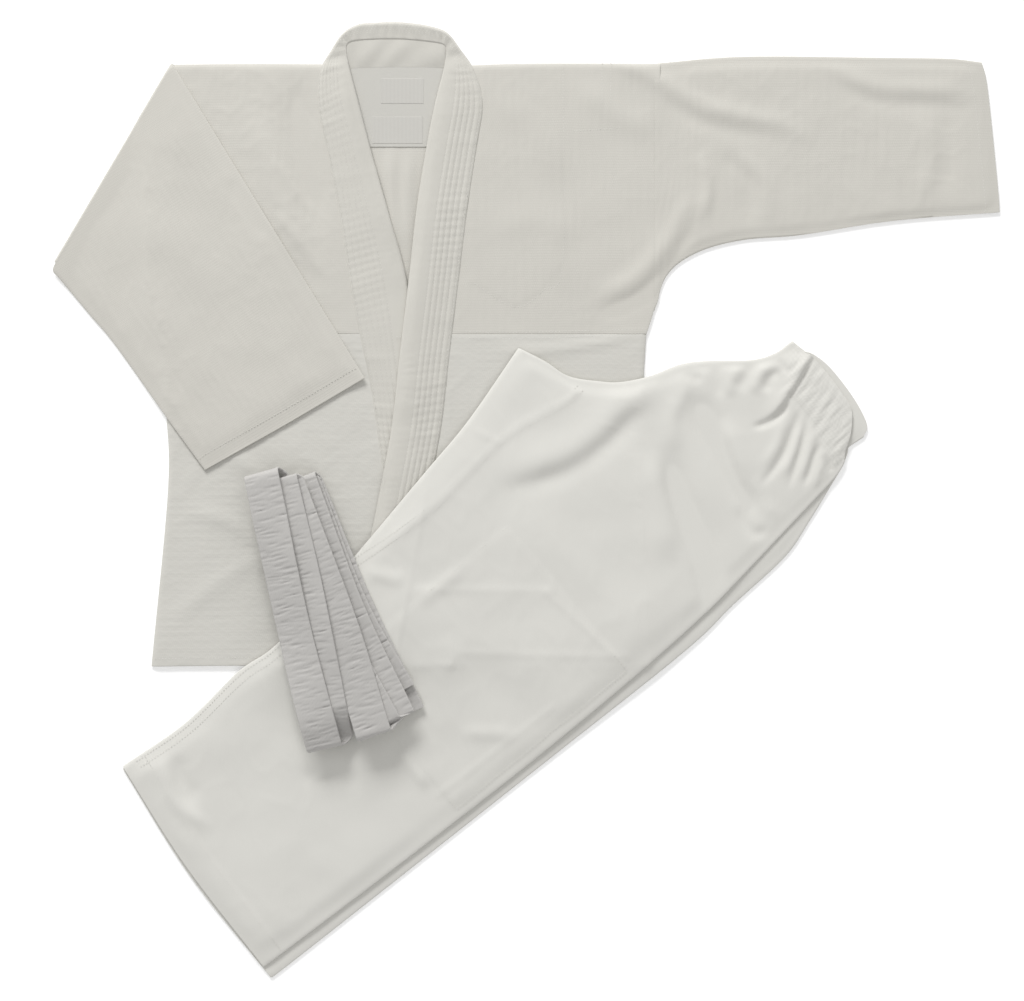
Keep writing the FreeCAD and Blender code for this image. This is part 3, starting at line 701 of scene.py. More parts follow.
def band_piece(low_right, low_left):
    """The whole band as one folded strip with a rolled free edge and quilted rows, on the field
    low_right at the right lapel and on low_left at the left one. Gives the quilted rows."""
    free, sewn, seam, place, run = band_lines()
    to_neck, to_left, run = np.clip(place, 0, 1)[:, None], np.clip(place - 1, 0, 1)[:, None], run[:, None]

    def between(edge, shares):
        return free[:, None] * (1 - shares[None, :, None]) + edge[:, None] * shares[None, :, None]

    def by_place(right, neck, left):
        return right * (1 - to_neck) + neck * (to_neck - to_left) + left * to_left

    # shares across the top face, with one vertex row in each quilting groove and two on each side
    beside, wall = 0.012, 0.035
    across = [0.0, 0.015, 0.05, 0.11, 0.17, 0.235]
    for row in QUILT_ROWS:
        across += [row - wall, row - beside, row, row + beside, row + wall]
    across = np.array([*across, 0.965, 0.99, 1.0])
    groove = np.zeros(len(across))
    for row in QUILT_ROWS:
        groove[np.isclose(across, row)] = 0.5
        groove[np.isclose(across, row - beside) | np.isclose(across, row + beside)] = 0.28
    xy = between(sewn, across)
    # full at the rolled edge and thin where it is sewn on, with a low pillow between the rows
    pillow = 0.22 * np.abs(np.sin(np.pi * (across - QUILT_ROWS[0]) * BAND_FLAT / ROW_PITCH))
    pillow *= across > QUILT_ROWS[0]
    face = BAND_THICK + 0.2 - 2.7 * ease((across - 0.35) / 0.65) + pillow
    # small cross puckers between the rows, and wider ones right across
    phase = run * 2 * math.pi / 9.0 + 2.2 * np.sin(run / 37.0) + 5.0 * across
    pucker = 0.24 * np.sin(phase) * np.clip((across - 0.3) * 6, 0, 1) * (0.6 + 0.4 * np.sin(run / 33.0))
    pucker += (0.45 * np.maximum(0, np.sin(run / 14.0 + 1.7 * np.sin(run / 51.0))) ** 6
               * np.clip(across, 0.25, 1))
    # the sewn edge sinks into the cloth under it
    sunk = 0.35
    flat = (face - groove * 0.8 + pucker + sunk) * rounded((1 - across) * BAND_FLAT, 4.0) - sunk
    short_folds = (0.55 * np.sin(run * 2 * math.pi / 13.0 + 1.6 * np.sin(run / 9.0) + 1.5 * across)
                   * np.sin(np.pi * across))
    z_neck = 1.2 + (NECK_CREST - 1.6 + 1.5 * across) * rounded((1 - across) * 20.0, 5.0) + short_folds
    z = by_place(read(low_right, xy) + flat, z_neck, read(low_left, xy) + flat)
    # round the free edge
    z_free = by_place(read(low_right, free)[:, None], NECK_CREST - 2.0, read(low_left, free)[:, None])
    z = z_free + (z - z_free) * (0.5 + 0.5 * rounded(across * BAND_FLAT, 2.4))
    # the face that lies inside: from the free edge back to the seam
    inner = np.array([0.02, 0.06, 0.15, 0.25, 0.35, 0.45, 0.55, 0.65, 0.75, 0.85, 0.93, 0.985, 1.0])
    xy_in = between(seam, inner)
    lean = run + 16.0 * inner
    z_in_neck = (2.45 + (NECK_CREST - 3.6) * (1 - inner)
                 + 0.75 * (1 + np.sin(lean / 7.5 + 1.3 * np.sin(lean / 21.0))) * np.sin(np.pi * inner))
    z_in = by_place(read(low_right, xy_in) + 0.15, z_in_neck, read(low_left, xy_in) + 0.15)
    # each ring goes from the sewn edge over the top to the free edge and back inside
    ring = np.concatenate([np.dstack([xy, z])[:, ::-1], np.dstack([xy_in, z_in])], 1)
    flat_across = np.concatenate([across[::-1], -inner]) * BAND_FLAT
    weave = np.stack(np.broadcast_arrays(run, flat_across), -1)
    band, index = ring_piece("collar_band", ring, weave, COLLAR)
    close_ends(band, [index[0, :-1], index[-1, :-1]])
    columns = [int(np.argmin(abs(across - row))) for row in QUILT_ROWS]
    return [np.column_stack([xy[:, column], z[:, column]]) for column in columns]


def close_ends(obj, ends):
    """Adds the flat faces that close a strip's open ends."""
    bm = bmesh.new()
    bm.from_mesh(obj.data)
    bm.verts.ensure_lookup_table()
    for end in ends:
        made = bm.faces.new([bm.verts[int(i)] for i in end])
        made.smooth = False
        if len(end) > 4:
            bmesh.ops.triangulate(bm, faces=[made])
    bmesh.ops.recalc_face_normals(bm, faces=bm.faces)
    bm.to_mesh(obj.data)
    bm.free()


def lay_band(stations_of_it, low):
    """Puts a stretch of the band on the pile."""
    lay([s[0] for s in stations_of_it] + [s[1] for s in reversed(stations_of_it)], low + BAND_THICK)


right_band_low = drape(pile, (6, 4), 2) + 0.1
lay_band([s for s in BAND if s[3] < 0.5], right_band_low)

# left front, which wraps over the right lapel
left_low = drape(pile, (22, 14, 8, 5), 3) + 0.15
left_air = 0.7 + 0.5 * np.clip(ripple[::-1, ::-1], -1.2, 2)
creases(left_air, [
    (2.6, [(74, 229), (120, 249), (157, 287), (178, 327)], 12),
    (-1.5, [(74, 209), (132, 233), (168, 273)], 9),
    (1.2, [(-45, 171), (22, 171), (93, 181), (136, 193)], 7),
    (2.0, [(90, 512), (117, 500), (159, 478), (201, 453)], 11),
    (1.2, [(-40, 470), (10, 430), (60, 360)], 20), (1.0, [(-50, 300), (10, 320), (70, 300)], 18),
    (0.9, [(0, 380), (30, 300), (40, 230)], 14), (1.6, [(60, 480), (110, 440), (160, 420)], 16)])
left_air += 0.14 * ribs(90, 8.5, 7) * soft_mask([(-140, WAIST), (170, WAIST), (170, 520), (-140, 520)], 6)
left_air += 0.18 * ribs(0, 7.5, 6) * soft_mask([(-210, HEM), (150, HEM), (150, WAIST), (-210, WAIST)], 6)
PATCH_RING = [(43, 510), (43, 273), (20, 240), (-12, 221), (-64, 251), (-67, 335), (-50, 450), (-50, 510)]
left_air += 0.35 * soft_mask(PATCH_RING, 1.6)
left_air += 0.45 * crumple(30, 110, 50) + 0.15 * crumple(13, 100, 60)
left_low = left_low + np.clip(left_air, 0.1, 7)
panel("left_front_panel",
      ([LEFT_INNER[0], LEFT_ARM[0]], [LEFT_INNER[-1], (0, SHOULDER + 1), (ARMHOLE, SHOULDER + 1)], LEFT_INNER,
       LEFT_ARM), left_low, CLOTH, RICE, drop="top")
panel("left_skirt_panel",
      ([(-196, HEM), (0, HEM - 1), (145, HEM)], [LEFT_INNER[0], LEFT_ARM[0]], LEFT_SKIRT_INNER, LEFT_SIDE),
      left_low, CLOTH, DIAMOND, drop="right")
lay(outline([LEFT_SKIRT_INNER, LEFT_INNER], [LEFT_SIDE, LEFT_ARM[:-1]], (ARMHOLE, SHOULDER)),
    left_low + CLOTH)
quilting = band_piece(right_band_low, drape(pile, (6, 4), 2) + 0.1)
lay_band([s for s in BAND if s[3] > 1.2], drape(pile, (6, 4), 2) + 0.1)

# ---------------------------------------------------------------- left sleeve
CUFF_HEM = 18.0
sleeve_low = zeros() + 0.3
sleeve_high = sleeve_low + 3.7 + 0.6 * np.clip(ripple, -1.5, 2.5)
creases(sleeve_high, [
        (2.3, [(117, 500), (159, 478), (201, 453), (243, 442), (295, 430), (340, 404)], 11),
        (-1.0, [(112, 484), (160, 458), (200, 434), (245, 421), (300, 407)], 9),
        (2.2, [(198, 402), (210, 362), (203, 316)], 7), (-1.6, [(217, 400), (252, 372), (258, 308)], 10),
        (1.4, [(233, 402), (274, 367), (283, 312)], 10),
        (2.6, [(120, 249), (157, 287), (178, 327), (190, 360)], 10),
        (-1.6, [(132, 233), (168, 273), (196, 320)], 8),
        (2.0, [(330, 512), (352, 497), (372, 486), (408, 474), (463, 471), (530, 466)], 11),
        (-0.9, [(345, 486), (372, 470), (408, 455), (463, 453), (520, 449)], 9),
        (-1.4, [(477, 454), (486, 402), (482, 344)], 12), (1.0, [(459, 448), (465, 390), (456, 339)], 10)])
sleeve_high += 0.14 * ribs(85, 8.5, 7)
sleeve_high += 0.45 * crumple(30, 100, 40) + 0.15 * crumple(13, 90, 60)
SLEEVE_UNDER = [(148, 216), (163, 258), (197, 283.5), (249, 298), (317, 304), (420, 320)]
sleeve_ring = [*SLEEVE_UNDER, (542, 331), (544, 342), (531, 470), (524, 502.4), (400, 508), (249, 509),
               (148, 501)]
# the border's thinning leaves out the armhole, where the sleeve goes over into the front
sleeve_high = flattened(np.clip(sleeve_high, 2.4, 9), [(60, 216), *sleeve_ring, (60, 501)], 2.6, 9)
join_up = np.clip((GX - 150) / 40, 0, 1)
sleeve_high = (left_low + CLOTH + 0.25) * (1 - join_up) + sleeve_high * join_up
tube("left_sleeve", ([*SLEEVE_UNDER, (CUFF - 2, 331)],
                     [(148, 501), (249, 509), (400, 508), (478, 507), (500, 505.6), (524, 502.4)],
                     [(148, 216), (148, 360), (148, 501)],
                     [(CUFF - 2, 331), (CUFF, 342), (CUFF - 13, 470), (CUFF - 20, 502.4)]),
     sleeve_low, sleeve_high, RICE, {"right": CUFF_HEM}, thin=18.0)
lay(sleeve_ring, sleeve_high)

# ---------------------------------------------------------------- right sleeve, folded over the body
FOLD_TOP, FOLD_END = (-405.0, 500.0), (-539.7, 272.0)


def right_sleeve():
    """A tube that starts at the armhole, turns over along the fold line and lies on the body. Gives
    the field of its top."""
    lines = ([FOLD_END, (-543.4, 262.8), (-538.5, 257), (-525, 240.9), (-500, 211), (-472, 177.7),
              (-414.6, 97.2), (-368.6, 33.9)],
             [FOLD_TOP, (-330, 377), (-184.6, 139.7)],
             [FOLD_END, FOLD_TOP],
             [(-368.6, 33.9), (-276, 86), (-184.6, 139.7)])
    grid, sides = patch(*lines)
    low = drape(pile, (12, 8, 5), 2) + 0.35
    high = low + 3.8 + 0.6 * np.clip(ripple.T, -1.5, 2.5)
    creases(high, [
        (-2.0, [(-345, 372), (-318, 335), (-294, 300)], 8), (1.5, [(-323, 372), (-271, 304), (-208, 200)], 8),
        (1.2, [(-466, 252), (-409, 195), (-363, 114)], 22),
        (1.2, [(-480, 330), (-420, 300), (-350, 220)], 26),
        (-1.0, [(-400, 420), (-380, 330), (-330, 240)], 20),
        (1.0, [(-300, 190), (-270, 150), (-250, 110)], 16)])
    high += 0.14 * ribs(-60, 8.5, 7)
    high += 0.4 * crumple(30, 120, 40) + 0.15 * crumple(13, 120, 60)
    high = np.maximum(high, low + 2.6)
    lay([*lines[0], *reversed(lines[3][:-1]), *reversed(lines[1][:-1])], high)
    above, below = read(high, grid), read(low, grid)
    border = np.minimum(sides["bottom"], sides["top"])
    thinning = ease(np.minimum(border / 20.0, 0.15 + sides["right"] / 35.0))
    above = below + 2.2 * WALL + (above - below - 2.2 * WALL) * thinning
    # beyond the side of the body the sleeve comes down towards its fold
    level, fullness = 3.2, 3.4
    near_fold = ease(sides["left"] / 60.0)
    below = level + (below - level) * near_fold
    above = np.minimum(above, level + fullness + (above - level - fullness) * near_fold)
    above = np.maximum(above, below + 2.4)
    ring, outside, within = layers(above, below, border, 0.45)
    xy = grid[:, ring]
    body = np.dstack([xy, outside])
    # turn-over: half circles round the fold line for the outer and the inner layer, which end at the
    # two layers of the root under the sleeve
    fold, z_top = xy[0], body[0, :, 2]
    out = np.array([-(FOLD_TOP[1] - FOLD_END[1]), FOLD_TOP[0] - FOLD_END[0]])
    out /= np.linalg.norm(out)
    is_outer = np.arange(len(ring)) < border.shape[1]
    root_middle = 1.5
    z_root = root_middle + (np.where(is_outer, 0.5, 2.6) - root_middle) * rounded(border[0], TUBE_EDGE)[ring]
    inset = np.where(is_outer, 0.0, 1.6)
    half = (z_top - z_root) / 2
    rows, flats = [body], [xy]
    for turn in np.linspace(0, math.pi, 9)[1:-1]:
        bulge = np.sin(turn) * half * 0.9
        rows.insert(0, np.column_stack([fold + out * (bulge - inset)[:, None],
                                        (z_top + z_root) / 2 + half * np.cos(turn)])[None])
        flats.insert(0, fold[None])
    # the root is deeper towards the lower end of the fold
    reach = np.linalg.norm(fold - np.array(FOLD_TOP), axis=1) / 265.0
    for share in (0.0, 0.03, 0.1, 0.25, 0.45, 0.7, 1.0):
        root_xy = fold - out * ((10 + 100 * reach) * share)[:, None]
        rows.insert(0, np.column_stack([root_xy, z_root])[None])
        flats.insert(0, root_xy[None])
    tail, tail_flat = turned_in(body, within, xy, sides["right"][:, 0], CUFF_HEM)
    grain = math.radians(31.5)
    ring_piece("right_sleeve", np.vstack([*rows, tail]), turned(np.vstack([*flats, tail_flat]), grain), RICE)
    return high


right_sleeve_high = right_sleeve()


# ---------------------------------------------------------------- trousers
def leg(points):
    """Points of the trousers' own frame (along the outseam, towards the inseam) in the shared frame."""
    p = np.asarray(points, float)
    c, s = math.cos(TROUSERS_TURN), math.sin(TROUSERS_TURN)
    return [(TROUSERS[0] + u * c - v * s, TROUSERS[1] + u * s + v * c) for u, v in p]


RISE = [(26, 295), (113, 287), (198, 293), (255, 289), (376, 307), (508, 330), (585, 344), (683, 371)]
SEAT = [(683, 371), (696, 340), (706, 309), (729, 282), (748, 265), (778, 249), (813, 237), (841, 219),
        (878, 189), (904, 177), (926, 174)]
LOW_OUT = [(0, 0), (39, -3), (409, -14), (607, -19), (682, -14), (763, -10), (810, 3), (860, 20), (885, 29),
           (897, 39), (919, 37)]
UP_OUT = [(2, 14), (200, 4), (391, -3), (539, -4), (647, -1), (703, 4), (790, 14), (865, 23), (885, 29)]
# the waist's ends, in the shared frame: the lower leg's shows beyond the upper one's
LOW_WAIST = [(388, 71), (392, 86), (377, 116), (350, 151), (330, 167), (322, 169), (322, 169), (306, 182)]
UP_WAIST = [(366, 42), (367, 54), (373, 74), (375, 95), (371, 110), (357, 130), (342, 149), (328, 165),
            (322, 167), (322, 167), (306, 182)]


def leg_lines(outseam, waist, hem, inset=0.0):
    """The four sides of a leg; left and right are its open ends, the hem and the waist."""
    inner = leg([hem[-1], *[(u, v - inset) for u, v in [*RISE[1:], *SEAT]]])
    return ([*leg(outseam)[:-1], waist[0]], [*inner[:-1], waist[-1]], leg(hem), waist)


def around(bottom, top, left, right):
    """The closed ring round four sides."""
    return [*bottom, *right, *reversed(top), *reversed(left)]


lower_lines = leg_lines(LOW_OUT, LOW_WAIST, [(0, 0), (4, 150), (24, 293)], inset=2.0)
upper_lines = leg_lines(UP_OUT, UP_WAIST, [(2, 14), (8, 161), (26, 295)])
lower_ring, upper_ring = around(*lower_lines), around(*upper_lines)

leg_low = drape(pile, (30, 20, 12, 8), 3) + 0.3
leg_high = leg_low + flattened(3.8 + 0.6 * np.clip(ripple[::-1], -1.5, 2.5), lower_ring, 2.4, 11)
tube("right_leg", lower_lines, leg_low, leg_high, TWILL, {"left": 25.0, "right": 30.0}, pitch=4.0,
     turn=TROUSERS_TURN)
lay(lower_ring, leg_high)
top_low = drape(pile, (12, 8), 2) + 0.2
top_air = 4.4 + 0.9 * np.clip(ripple[:, ::-1], -1.8, 2.5)
folds = zeros()
FOLD_DEPTH = 1.15
FOLDS = [
    # ridges and valleys near the crotch
    (3.4, [(160, 136), (140, 126), (108, 104), (80, 78), (48, 56), (12, 42), (-43, 28)], 15, 20),
    (-2.2, [(158, 112), (124, 94), (96, 66), (60, 39), (20, 22), (-46, 8)], 13, 9),
    (2.0, [(184, 150), (180, 120), (168, 90), (174, 50)], 9, 12),
    (-4.8, [(193, 131), (201, 104), (217, 71), (233, 34), (255, -4), (268, -33)], 16, 12),
    (-5.6, [(160, 70), (170, 18), (188, -30), (203, -73), (209, -116), (203, -146)], 18, 12),
    (3.2, [(222, 98), (239, 61), (251, 23), (260, -9)], 12, 12),
    (2.8, [(142, 60), (150, 20), (160, -30), (168, -80)], 13, 18),
    (-1.8, [(243, -4), (252, -26), (262, -38), (272, -38), (284, -32)], 7, 7),
    (1.3, [(262, 30), (270, 0), (284, -14), (296, -8)], 9, 9),
    # gathers below the waist
    (-2.2, [(314, 113), (315, 106), (300, 61), (283, 32), (264, 11)], 4.5, 4.5),
    (1.3, [(300, 105), (288, 62), (268, 34)], 6, 6), (1.3, [(318, 92), (308, 55), (292, 22)], 4.5, 4.5),
    (-1.9, [(323, 99), (319, 70), (308, 32), (300, 8)], 4, 4), (1.4, [(331, 90), (327, 60), (316, 20)], 5, 5),
    (-1.9, [(340, 68), (331, 49), (319, 11)], 4, 4), (1.3, [(347, 62), (339, 38), (330, 10)], 4.5, 4.5),
    (-1.2, [(339, 53), (346, 42), (352, 30)], 3.5, 3.5),
    # the fold that ends in a sharp short crease, and the small ones beside it
    (3.4, [(340, 184), (329, 167), (319, 151), (308, 130), (295, 113), (286, 101), (268, 91)], 2.6, 11),
    (-1.4, [(330, 158), (318, 140), (306, 122), (296, 108)], 3.0, 3.0),
    (-3.4, [(304, 114), (293, 99), (278, 88), (257, 82)], 3.4, 3.4),
    (-1.5, [(290, 164), (296, 152), (302, 143)], 4, 4), (-2.0, [(294, 150), (280, 139), (274, 120)], 6, 6),
    (1.6, [(284, 158), (268, 142), (261, 118)], 7, 7), (-1.6, [(264, 160), (252, 140), (243, 122)], 8, 8),
    (1.5, [(250, 158), (236, 136), (230, 114)], 8, 8), (-1.5, [(216, 158), (220, 136), (226, 114)], 7, 7),
    (-1.3, [(181, 146), (193, 139), (205, 142)], 6, 6), (1.0, [(129, 120), (139, 133), (155, 131)], 6, 6),
    # knee and lower leg
    (1.8, [(-148, -283), (-110, -334)], 9, 7), (1.4, [(-79, -267), (-3, -270)], 8, 8),
    (-1.8, [(-266, -320), (-225, -316), (-181, -323)], 12, 12),
    (2.6, [(-418, -287), (-411, -320), (-398, -350), (-355, -382)], 8, 10),
    (-1.8, [(-400, -290), (-392, -325), (-372, -350)], 10, 10),
    (1.6, [(-128, -122), (-68, -76)], 9, 9), (1.5, [(-188, -82), (-132, -93)], 8, 8),
    (1.6, [(-300, -270), (-230, -300), (-150, -300)], 26, 26),
    (1.6, [(-60, -380), (0, -330), (60, -270)], 22, 22),
    (1.4, [(-30, -20), (40, -60), (90, -120)], 24, 24),
    (-1.2, [(-90, -180), (-20, -220), (40, -290)], 24, 24)]
for height, line, left, right in FOLDS:
    crease(folds, line, FOLD_DEPTH * height, left, right)
seam_field = zeros()
GUSSET = [(-200, -75), (-112, -14), (-28, 68), (44, 111), (64, 129)]
crease(seam_field, GUSSET, 1.1, 4.0, ends=0.02)
crease(seam_field, [(-66, 82), (-29, 65)], 0.8, 3.0, ends=0.05)
crease(seam_field, leg([(40, 286), (113, 279), (198, 285), (255, 282), (376, 299)]), 0.7, 4.5, ends=0.02)
KNEE = leg([(288, 12), (540, 8), (541, 222), (406, 223), (290, 223)])
seam_field += 0.7 * soft_mask(KNEE, 1.4)
hem_band = leg([(2, 14), (8, 161), (26, 295), (56, 295), (38, 161), (32, 14)])
seam_field += 0.5 * soft_mask(hem_band, 1.6)
for line in [[(-128, -103), (37, -105)], [(-82, -175), (37, -179), (124, -180)], [(19, -102), (124, -200)],
             [(37, -234), (-105, -343)]]:
    crease(seam_field, line, 0.7, 3.0, ends=0.04)
# the elastic waistband and the gathers below it
CASING = [(298, 124), (318, 102), (333, 80), (346, 52), (352, 30)]
elastic = soft_mask([*CASING, *UP_WAIST], 2.5)
seam_field += 0.5 * ribs(44, 11.0, 14, 14, 0.35) * soft_mask([*CASING, (366, 42), (371, 110), (306, 182)], 9)
crease(seam_field, CASING, -0.9, 3.0, ends=0.05)
seam_field += 0.6 * soft_mask([*UP_WAIST[:7], (335, 143), (350, 124), (362, 106), (366, 93), (364, 74),
                               (358, 56), (357, 44)], 1.2)
top_air += 0.35 * crumple(34, 100, 45) + 0.12 * crumple(15, 70, 60)
top_air = flattened(top_air, upper_ring, 2.4, 14) + folds
top_high = top_low + np.clip(top_air, 1.9, 12) + seam_field
tube("left_leg", upper_lines, top_low, top_high, TWILL, {"left": 25.0, "right": 28.0}, pitch=2.8,
     turn=TROUSERS_TURN, mark=elastic)
lay(upper_ring, top_high)

# ---------------------------------------------------------------- belt
BELT_WIDE, BELT_THICK = 41.0, 2.6
# each pass's upper end, middle and lower end, from the lowest pass up
PASSES = [
    [(-254, 22), (-196, -118), (-132, -251)], [(-257, 24), (-200, -122), (-142, -226)],
    [(-260, 22), (-205, -128), (-148, -250)], [(-260, 24), (-203, -128), (-143, -254)],
    [(-290, 26), (-222, -140), (-160, -259)], [(-274, 24), (-213, -138), (-172, -270)],
    [(-281, 27), (-244, -130), (-216, -278)], [(-301, 29), (-263, -150), (-229, -284)]]
# the levels met by walking the doubled belt from one end to the other; its first pass goes up
WALK = [0, 3, 4, 7, 6, 5, 2, 1]
LAYER = 2.75


def smooth(values, reach):
    """A running mean over a reach of samples on both sides."""
    padded = np.pad(values, reach, mode="edge")
    return np.convolve(padded, np.ones(2 * reach + 1) / (2 * reach + 1), mode="valid")


def highest(values, reach):
    """The highest value within a reach of samples on both sides."""
    padded = np.pad(values, reach, mode="edge")
    return np.maximum.reduce([padded[k:k + len(values)] for k in range(2 * reach + 1)])


def settle():
    """Lays the passes one on another. For each: its line, the height of its middle, its sideways
    slope and its direction."""
    ground = drape(pile, (40, 30, 20), 3) + 0.4
    laid = []
    for points in PASSES:
        line = curve(points, 3.0)
        ahead = np.gradient(line, axis=0)
        ahead /= np.linalg.norm(ahead, axis=1, keepdims=True)
        beside = np.column_stack([-ahead[:, 1], ahead[:, 0]])
        middle, slope = read(ground, line), np.zeros(len(line))
        for a in (-18.0, -12.0, -6.0):
            for b in (6.0, 12.0, 18.0):
                lower, higher = read(ground, line + beside * a), read(ground, line + beside * b)
                tilt = (higher - lower) / (b - a)
                height = lower - tilt * a
                slope = np.where(height > middle, tilt, slope)
                middle = np.maximum(middle, height)
        slope = smooth(np.clip(slope, -0.3, 0.3), 16)
        needed = np.maximum.reduce([read(ground, line + beside * a) - slope * a
                                    for a in np.linspace(-20, 20, 9)])
        middle = smooth(highest(needed, 6), 6)
        laid.append(np.column_stack([line, middle + LAYER / 2, slope, -ahead]))
        window, signed, share = from_line(line, BELT_WIDE / 2 + 2 * CELL)
        run = along(line) / along(line)[-1]
        top = np.interp(share, run, middle + LAYER) + signed * np.interp(share, run, slope)
        higher_ground = np.maximum(ground[window], top)
        ground[window] = np.where(abs(signed) < BELT_WIDE / 2, higher_ground, ground[window])
    return laid


def belt_path():
    """The belt's middle line with its height, sideways slope and direction, end to end."""
    laid = settle()
    rows = []
    for step, level in enumerate(WALK):
        row = laid[level][2:-2]
        rows.append(row[::-1] if step % 2 == 0 else row)
    path = [rows[0]]
    turns = np.linspace(0, math.pi, 15)[1:-1]
    share = (1 - np.cos(turns))[:, None] / 2
    for before, after in zip(rows, rows[1:]):
        a, b = before[-1], after[0]
        # the belt moves sideways mostly in the lower half of the turn
        shift = share ** 2.5 if a[2] > b[2] else 1 - (1 - share) ** 2.5
        leave, meet = a[:2] - before[-4, :2], b[:2] - after[3, :2]
        leave, meet = leave / np.linalg.norm(leave), meet / np.linalg.norm(meet)
        bulge = max(abs(b[2] - a[2]) / 2, 2.6) * np.sin(turns)[:, None]
        turn = a + (b - a) * share
        turn[:, :2] = a[:2] + (b[:2] - a[:2]) * shift + (leave * (1 - shift) + meet * shift) * bulge
        path += [turn, after]
    return np.vstack(path)


def puckers(run, t):
    """Short shallow wrinkles across the belt, between its rows of stitching."""
    out = np.zeros((len(run), len(t)))
    place = 0.0
    while place < run[-1]:
        middle, half = rng.uniform(-1, 1), rng.uniform(0.2, 0.7)
        deep, wide, lean = rng.uniform(0.25, 0.8), rng.uniform(0.75, 1.2), rng.normal(0, 1.2)
        near = slice(*np.searchsorted(run, [place - 8, place + 8]))
        far = run[near, None] - place - lean * t[None]
        out[near] -= deep * np.exp(-(far / wide) ** 2) * np.clip(1 - ((t[None] - middle) / half) ** 2, 0, 1)
        place += 0.4 + rng.exponential(1.2)
    return out


def belt():
    """The doubled belt as one closed strip with nine woven ribs on each face."""
    path = belt_path()
    run = along(path[:, :3])
    steps = np.linspace(0, run[-1], int(run[-1] / 1.2) + 1)
    path = np.stack([np.interp(steps, run, column) for column in path.T], -1)
    centre, slope, heading = path[:, :3], path[:, 3], path[:, 4:]
    tangent = np.gradient(centre, axis=0)
    tangent /= np.linalg.norm(tangent, axis=1, keepdims=True)
    across = np.column_stack([heading[:, 1], -heading[:, 0], slope])
    across /= np.linalg.norm(across, axis=1, keepdims=True)
    normal = np.cross(across, tangent)
    normal /= np.linalg.norm(normal, axis=1, keepdims=True)
    # vertices in the grooves and on the crests of the ribs, and some more at the rounded edges
    rib_count = 9
    t = np.unique(np.concatenate([np.linspace(-1, 1, 2 * rib_count + 1), [-0.985, -0.95, 0.95, 0.985]]))
    edge = rounded((1 - abs(t)) * BELT_WIDE / 2, 1.3)
    rib = 0.4 * np.abs(np.sin(np.pi * (t + 1) / 2 * rib_count))
    half = (BELT_THICK / 2 - 0.3 + rib) * edge
    above, below = half + puckers(steps, t) * edge, half + puckers(steps, t) * edge
    flat = centre[:, None] + across[:, None] * (t * BELT_WIDE / 2)[None, :, None]
    upper = flat + normal[:, None] * above[..., None]
    lower = flat - normal[:, None] * below[..., None]
    ring = np.concatenate([upper, lower[:, -2:0:-1]], 1)
    flat_t = np.concatenate([t, t[-2:0:-1]]) * BELT_WIDE / 2
    weave = np.stack(np.broadcast_arrays(flat_t, steps[:, None]), -1)
    obj, index = ring_piece("belt", ring, weave, BELT)
    ends = []
    for row in (index[0], index[-1]):
        top, under = row[:len(t)], row[:len(t) - 2:-1]
        for k in range(len(t) - 1):
            ends.append(list(dict.fromkeys([top[k], top[k + 1], under[k + 1], under[k]])))
    close_ends(obj, ends)


belt()

# ---------------------------------------------------------------- thread
stitches("right_skirt_stitches", [[(-427, HEM + 9), (-300, HEM + 10), (-90, HEM + 9)]], right_low + CLOTH)
stitches("left_front_stitches",
         [[(-150, WAIST - 3), (0, WAIST - 5), (138, WAIST + 1)],
          [(-70, WAIST + 3), (0, WAIST + 2), (140, WAIST + 6)],
          [(43, 498), (43, 273), (20, 240), (-12, 221), (-60, 249)],
          [(88, 453), (88, 504)], [(98, 453), (98, 504)], [(53, 423), (111, 427)]], left_low + CLOTH)
stitches("left_sleeve_stitches", [[(CUFF - 18, 332), (CUFF - 16, 342), (CUFF - 29, 470), (CUFF - 37, 503)]],
         sleeve_high)
stitches("right_sleeve_stitches", [[(-376, 47), (-284, 99), (-193, 152)]], right_sleeve_high, -0.3)
knee_rows = [KNEE[0:2], KNEE[1:3], KNEE[2:5], [KNEE[4], KNEE[0]]]
gusset_rows = [[(x - 3, y + 3) for x, y in GUSSET], [(x + 3, y - 3) for x, y in GUSSET]]
hem_rows = [leg([(30, 16), (36, 161), (54, 292)])]
inseam_rows = [leg([(40, 282), (113, 275), (198, 281), (255, 278), (376, 294)]),
               leg([(40, 290), (113, 283), (198, 289), (255, 286), (376, 303)])]
stitches("left_leg_stitches", knee_rows + gusset_rows + hem_rows + inseam_rows, top_high)
raised_stitches("collar_stitches", quilting)

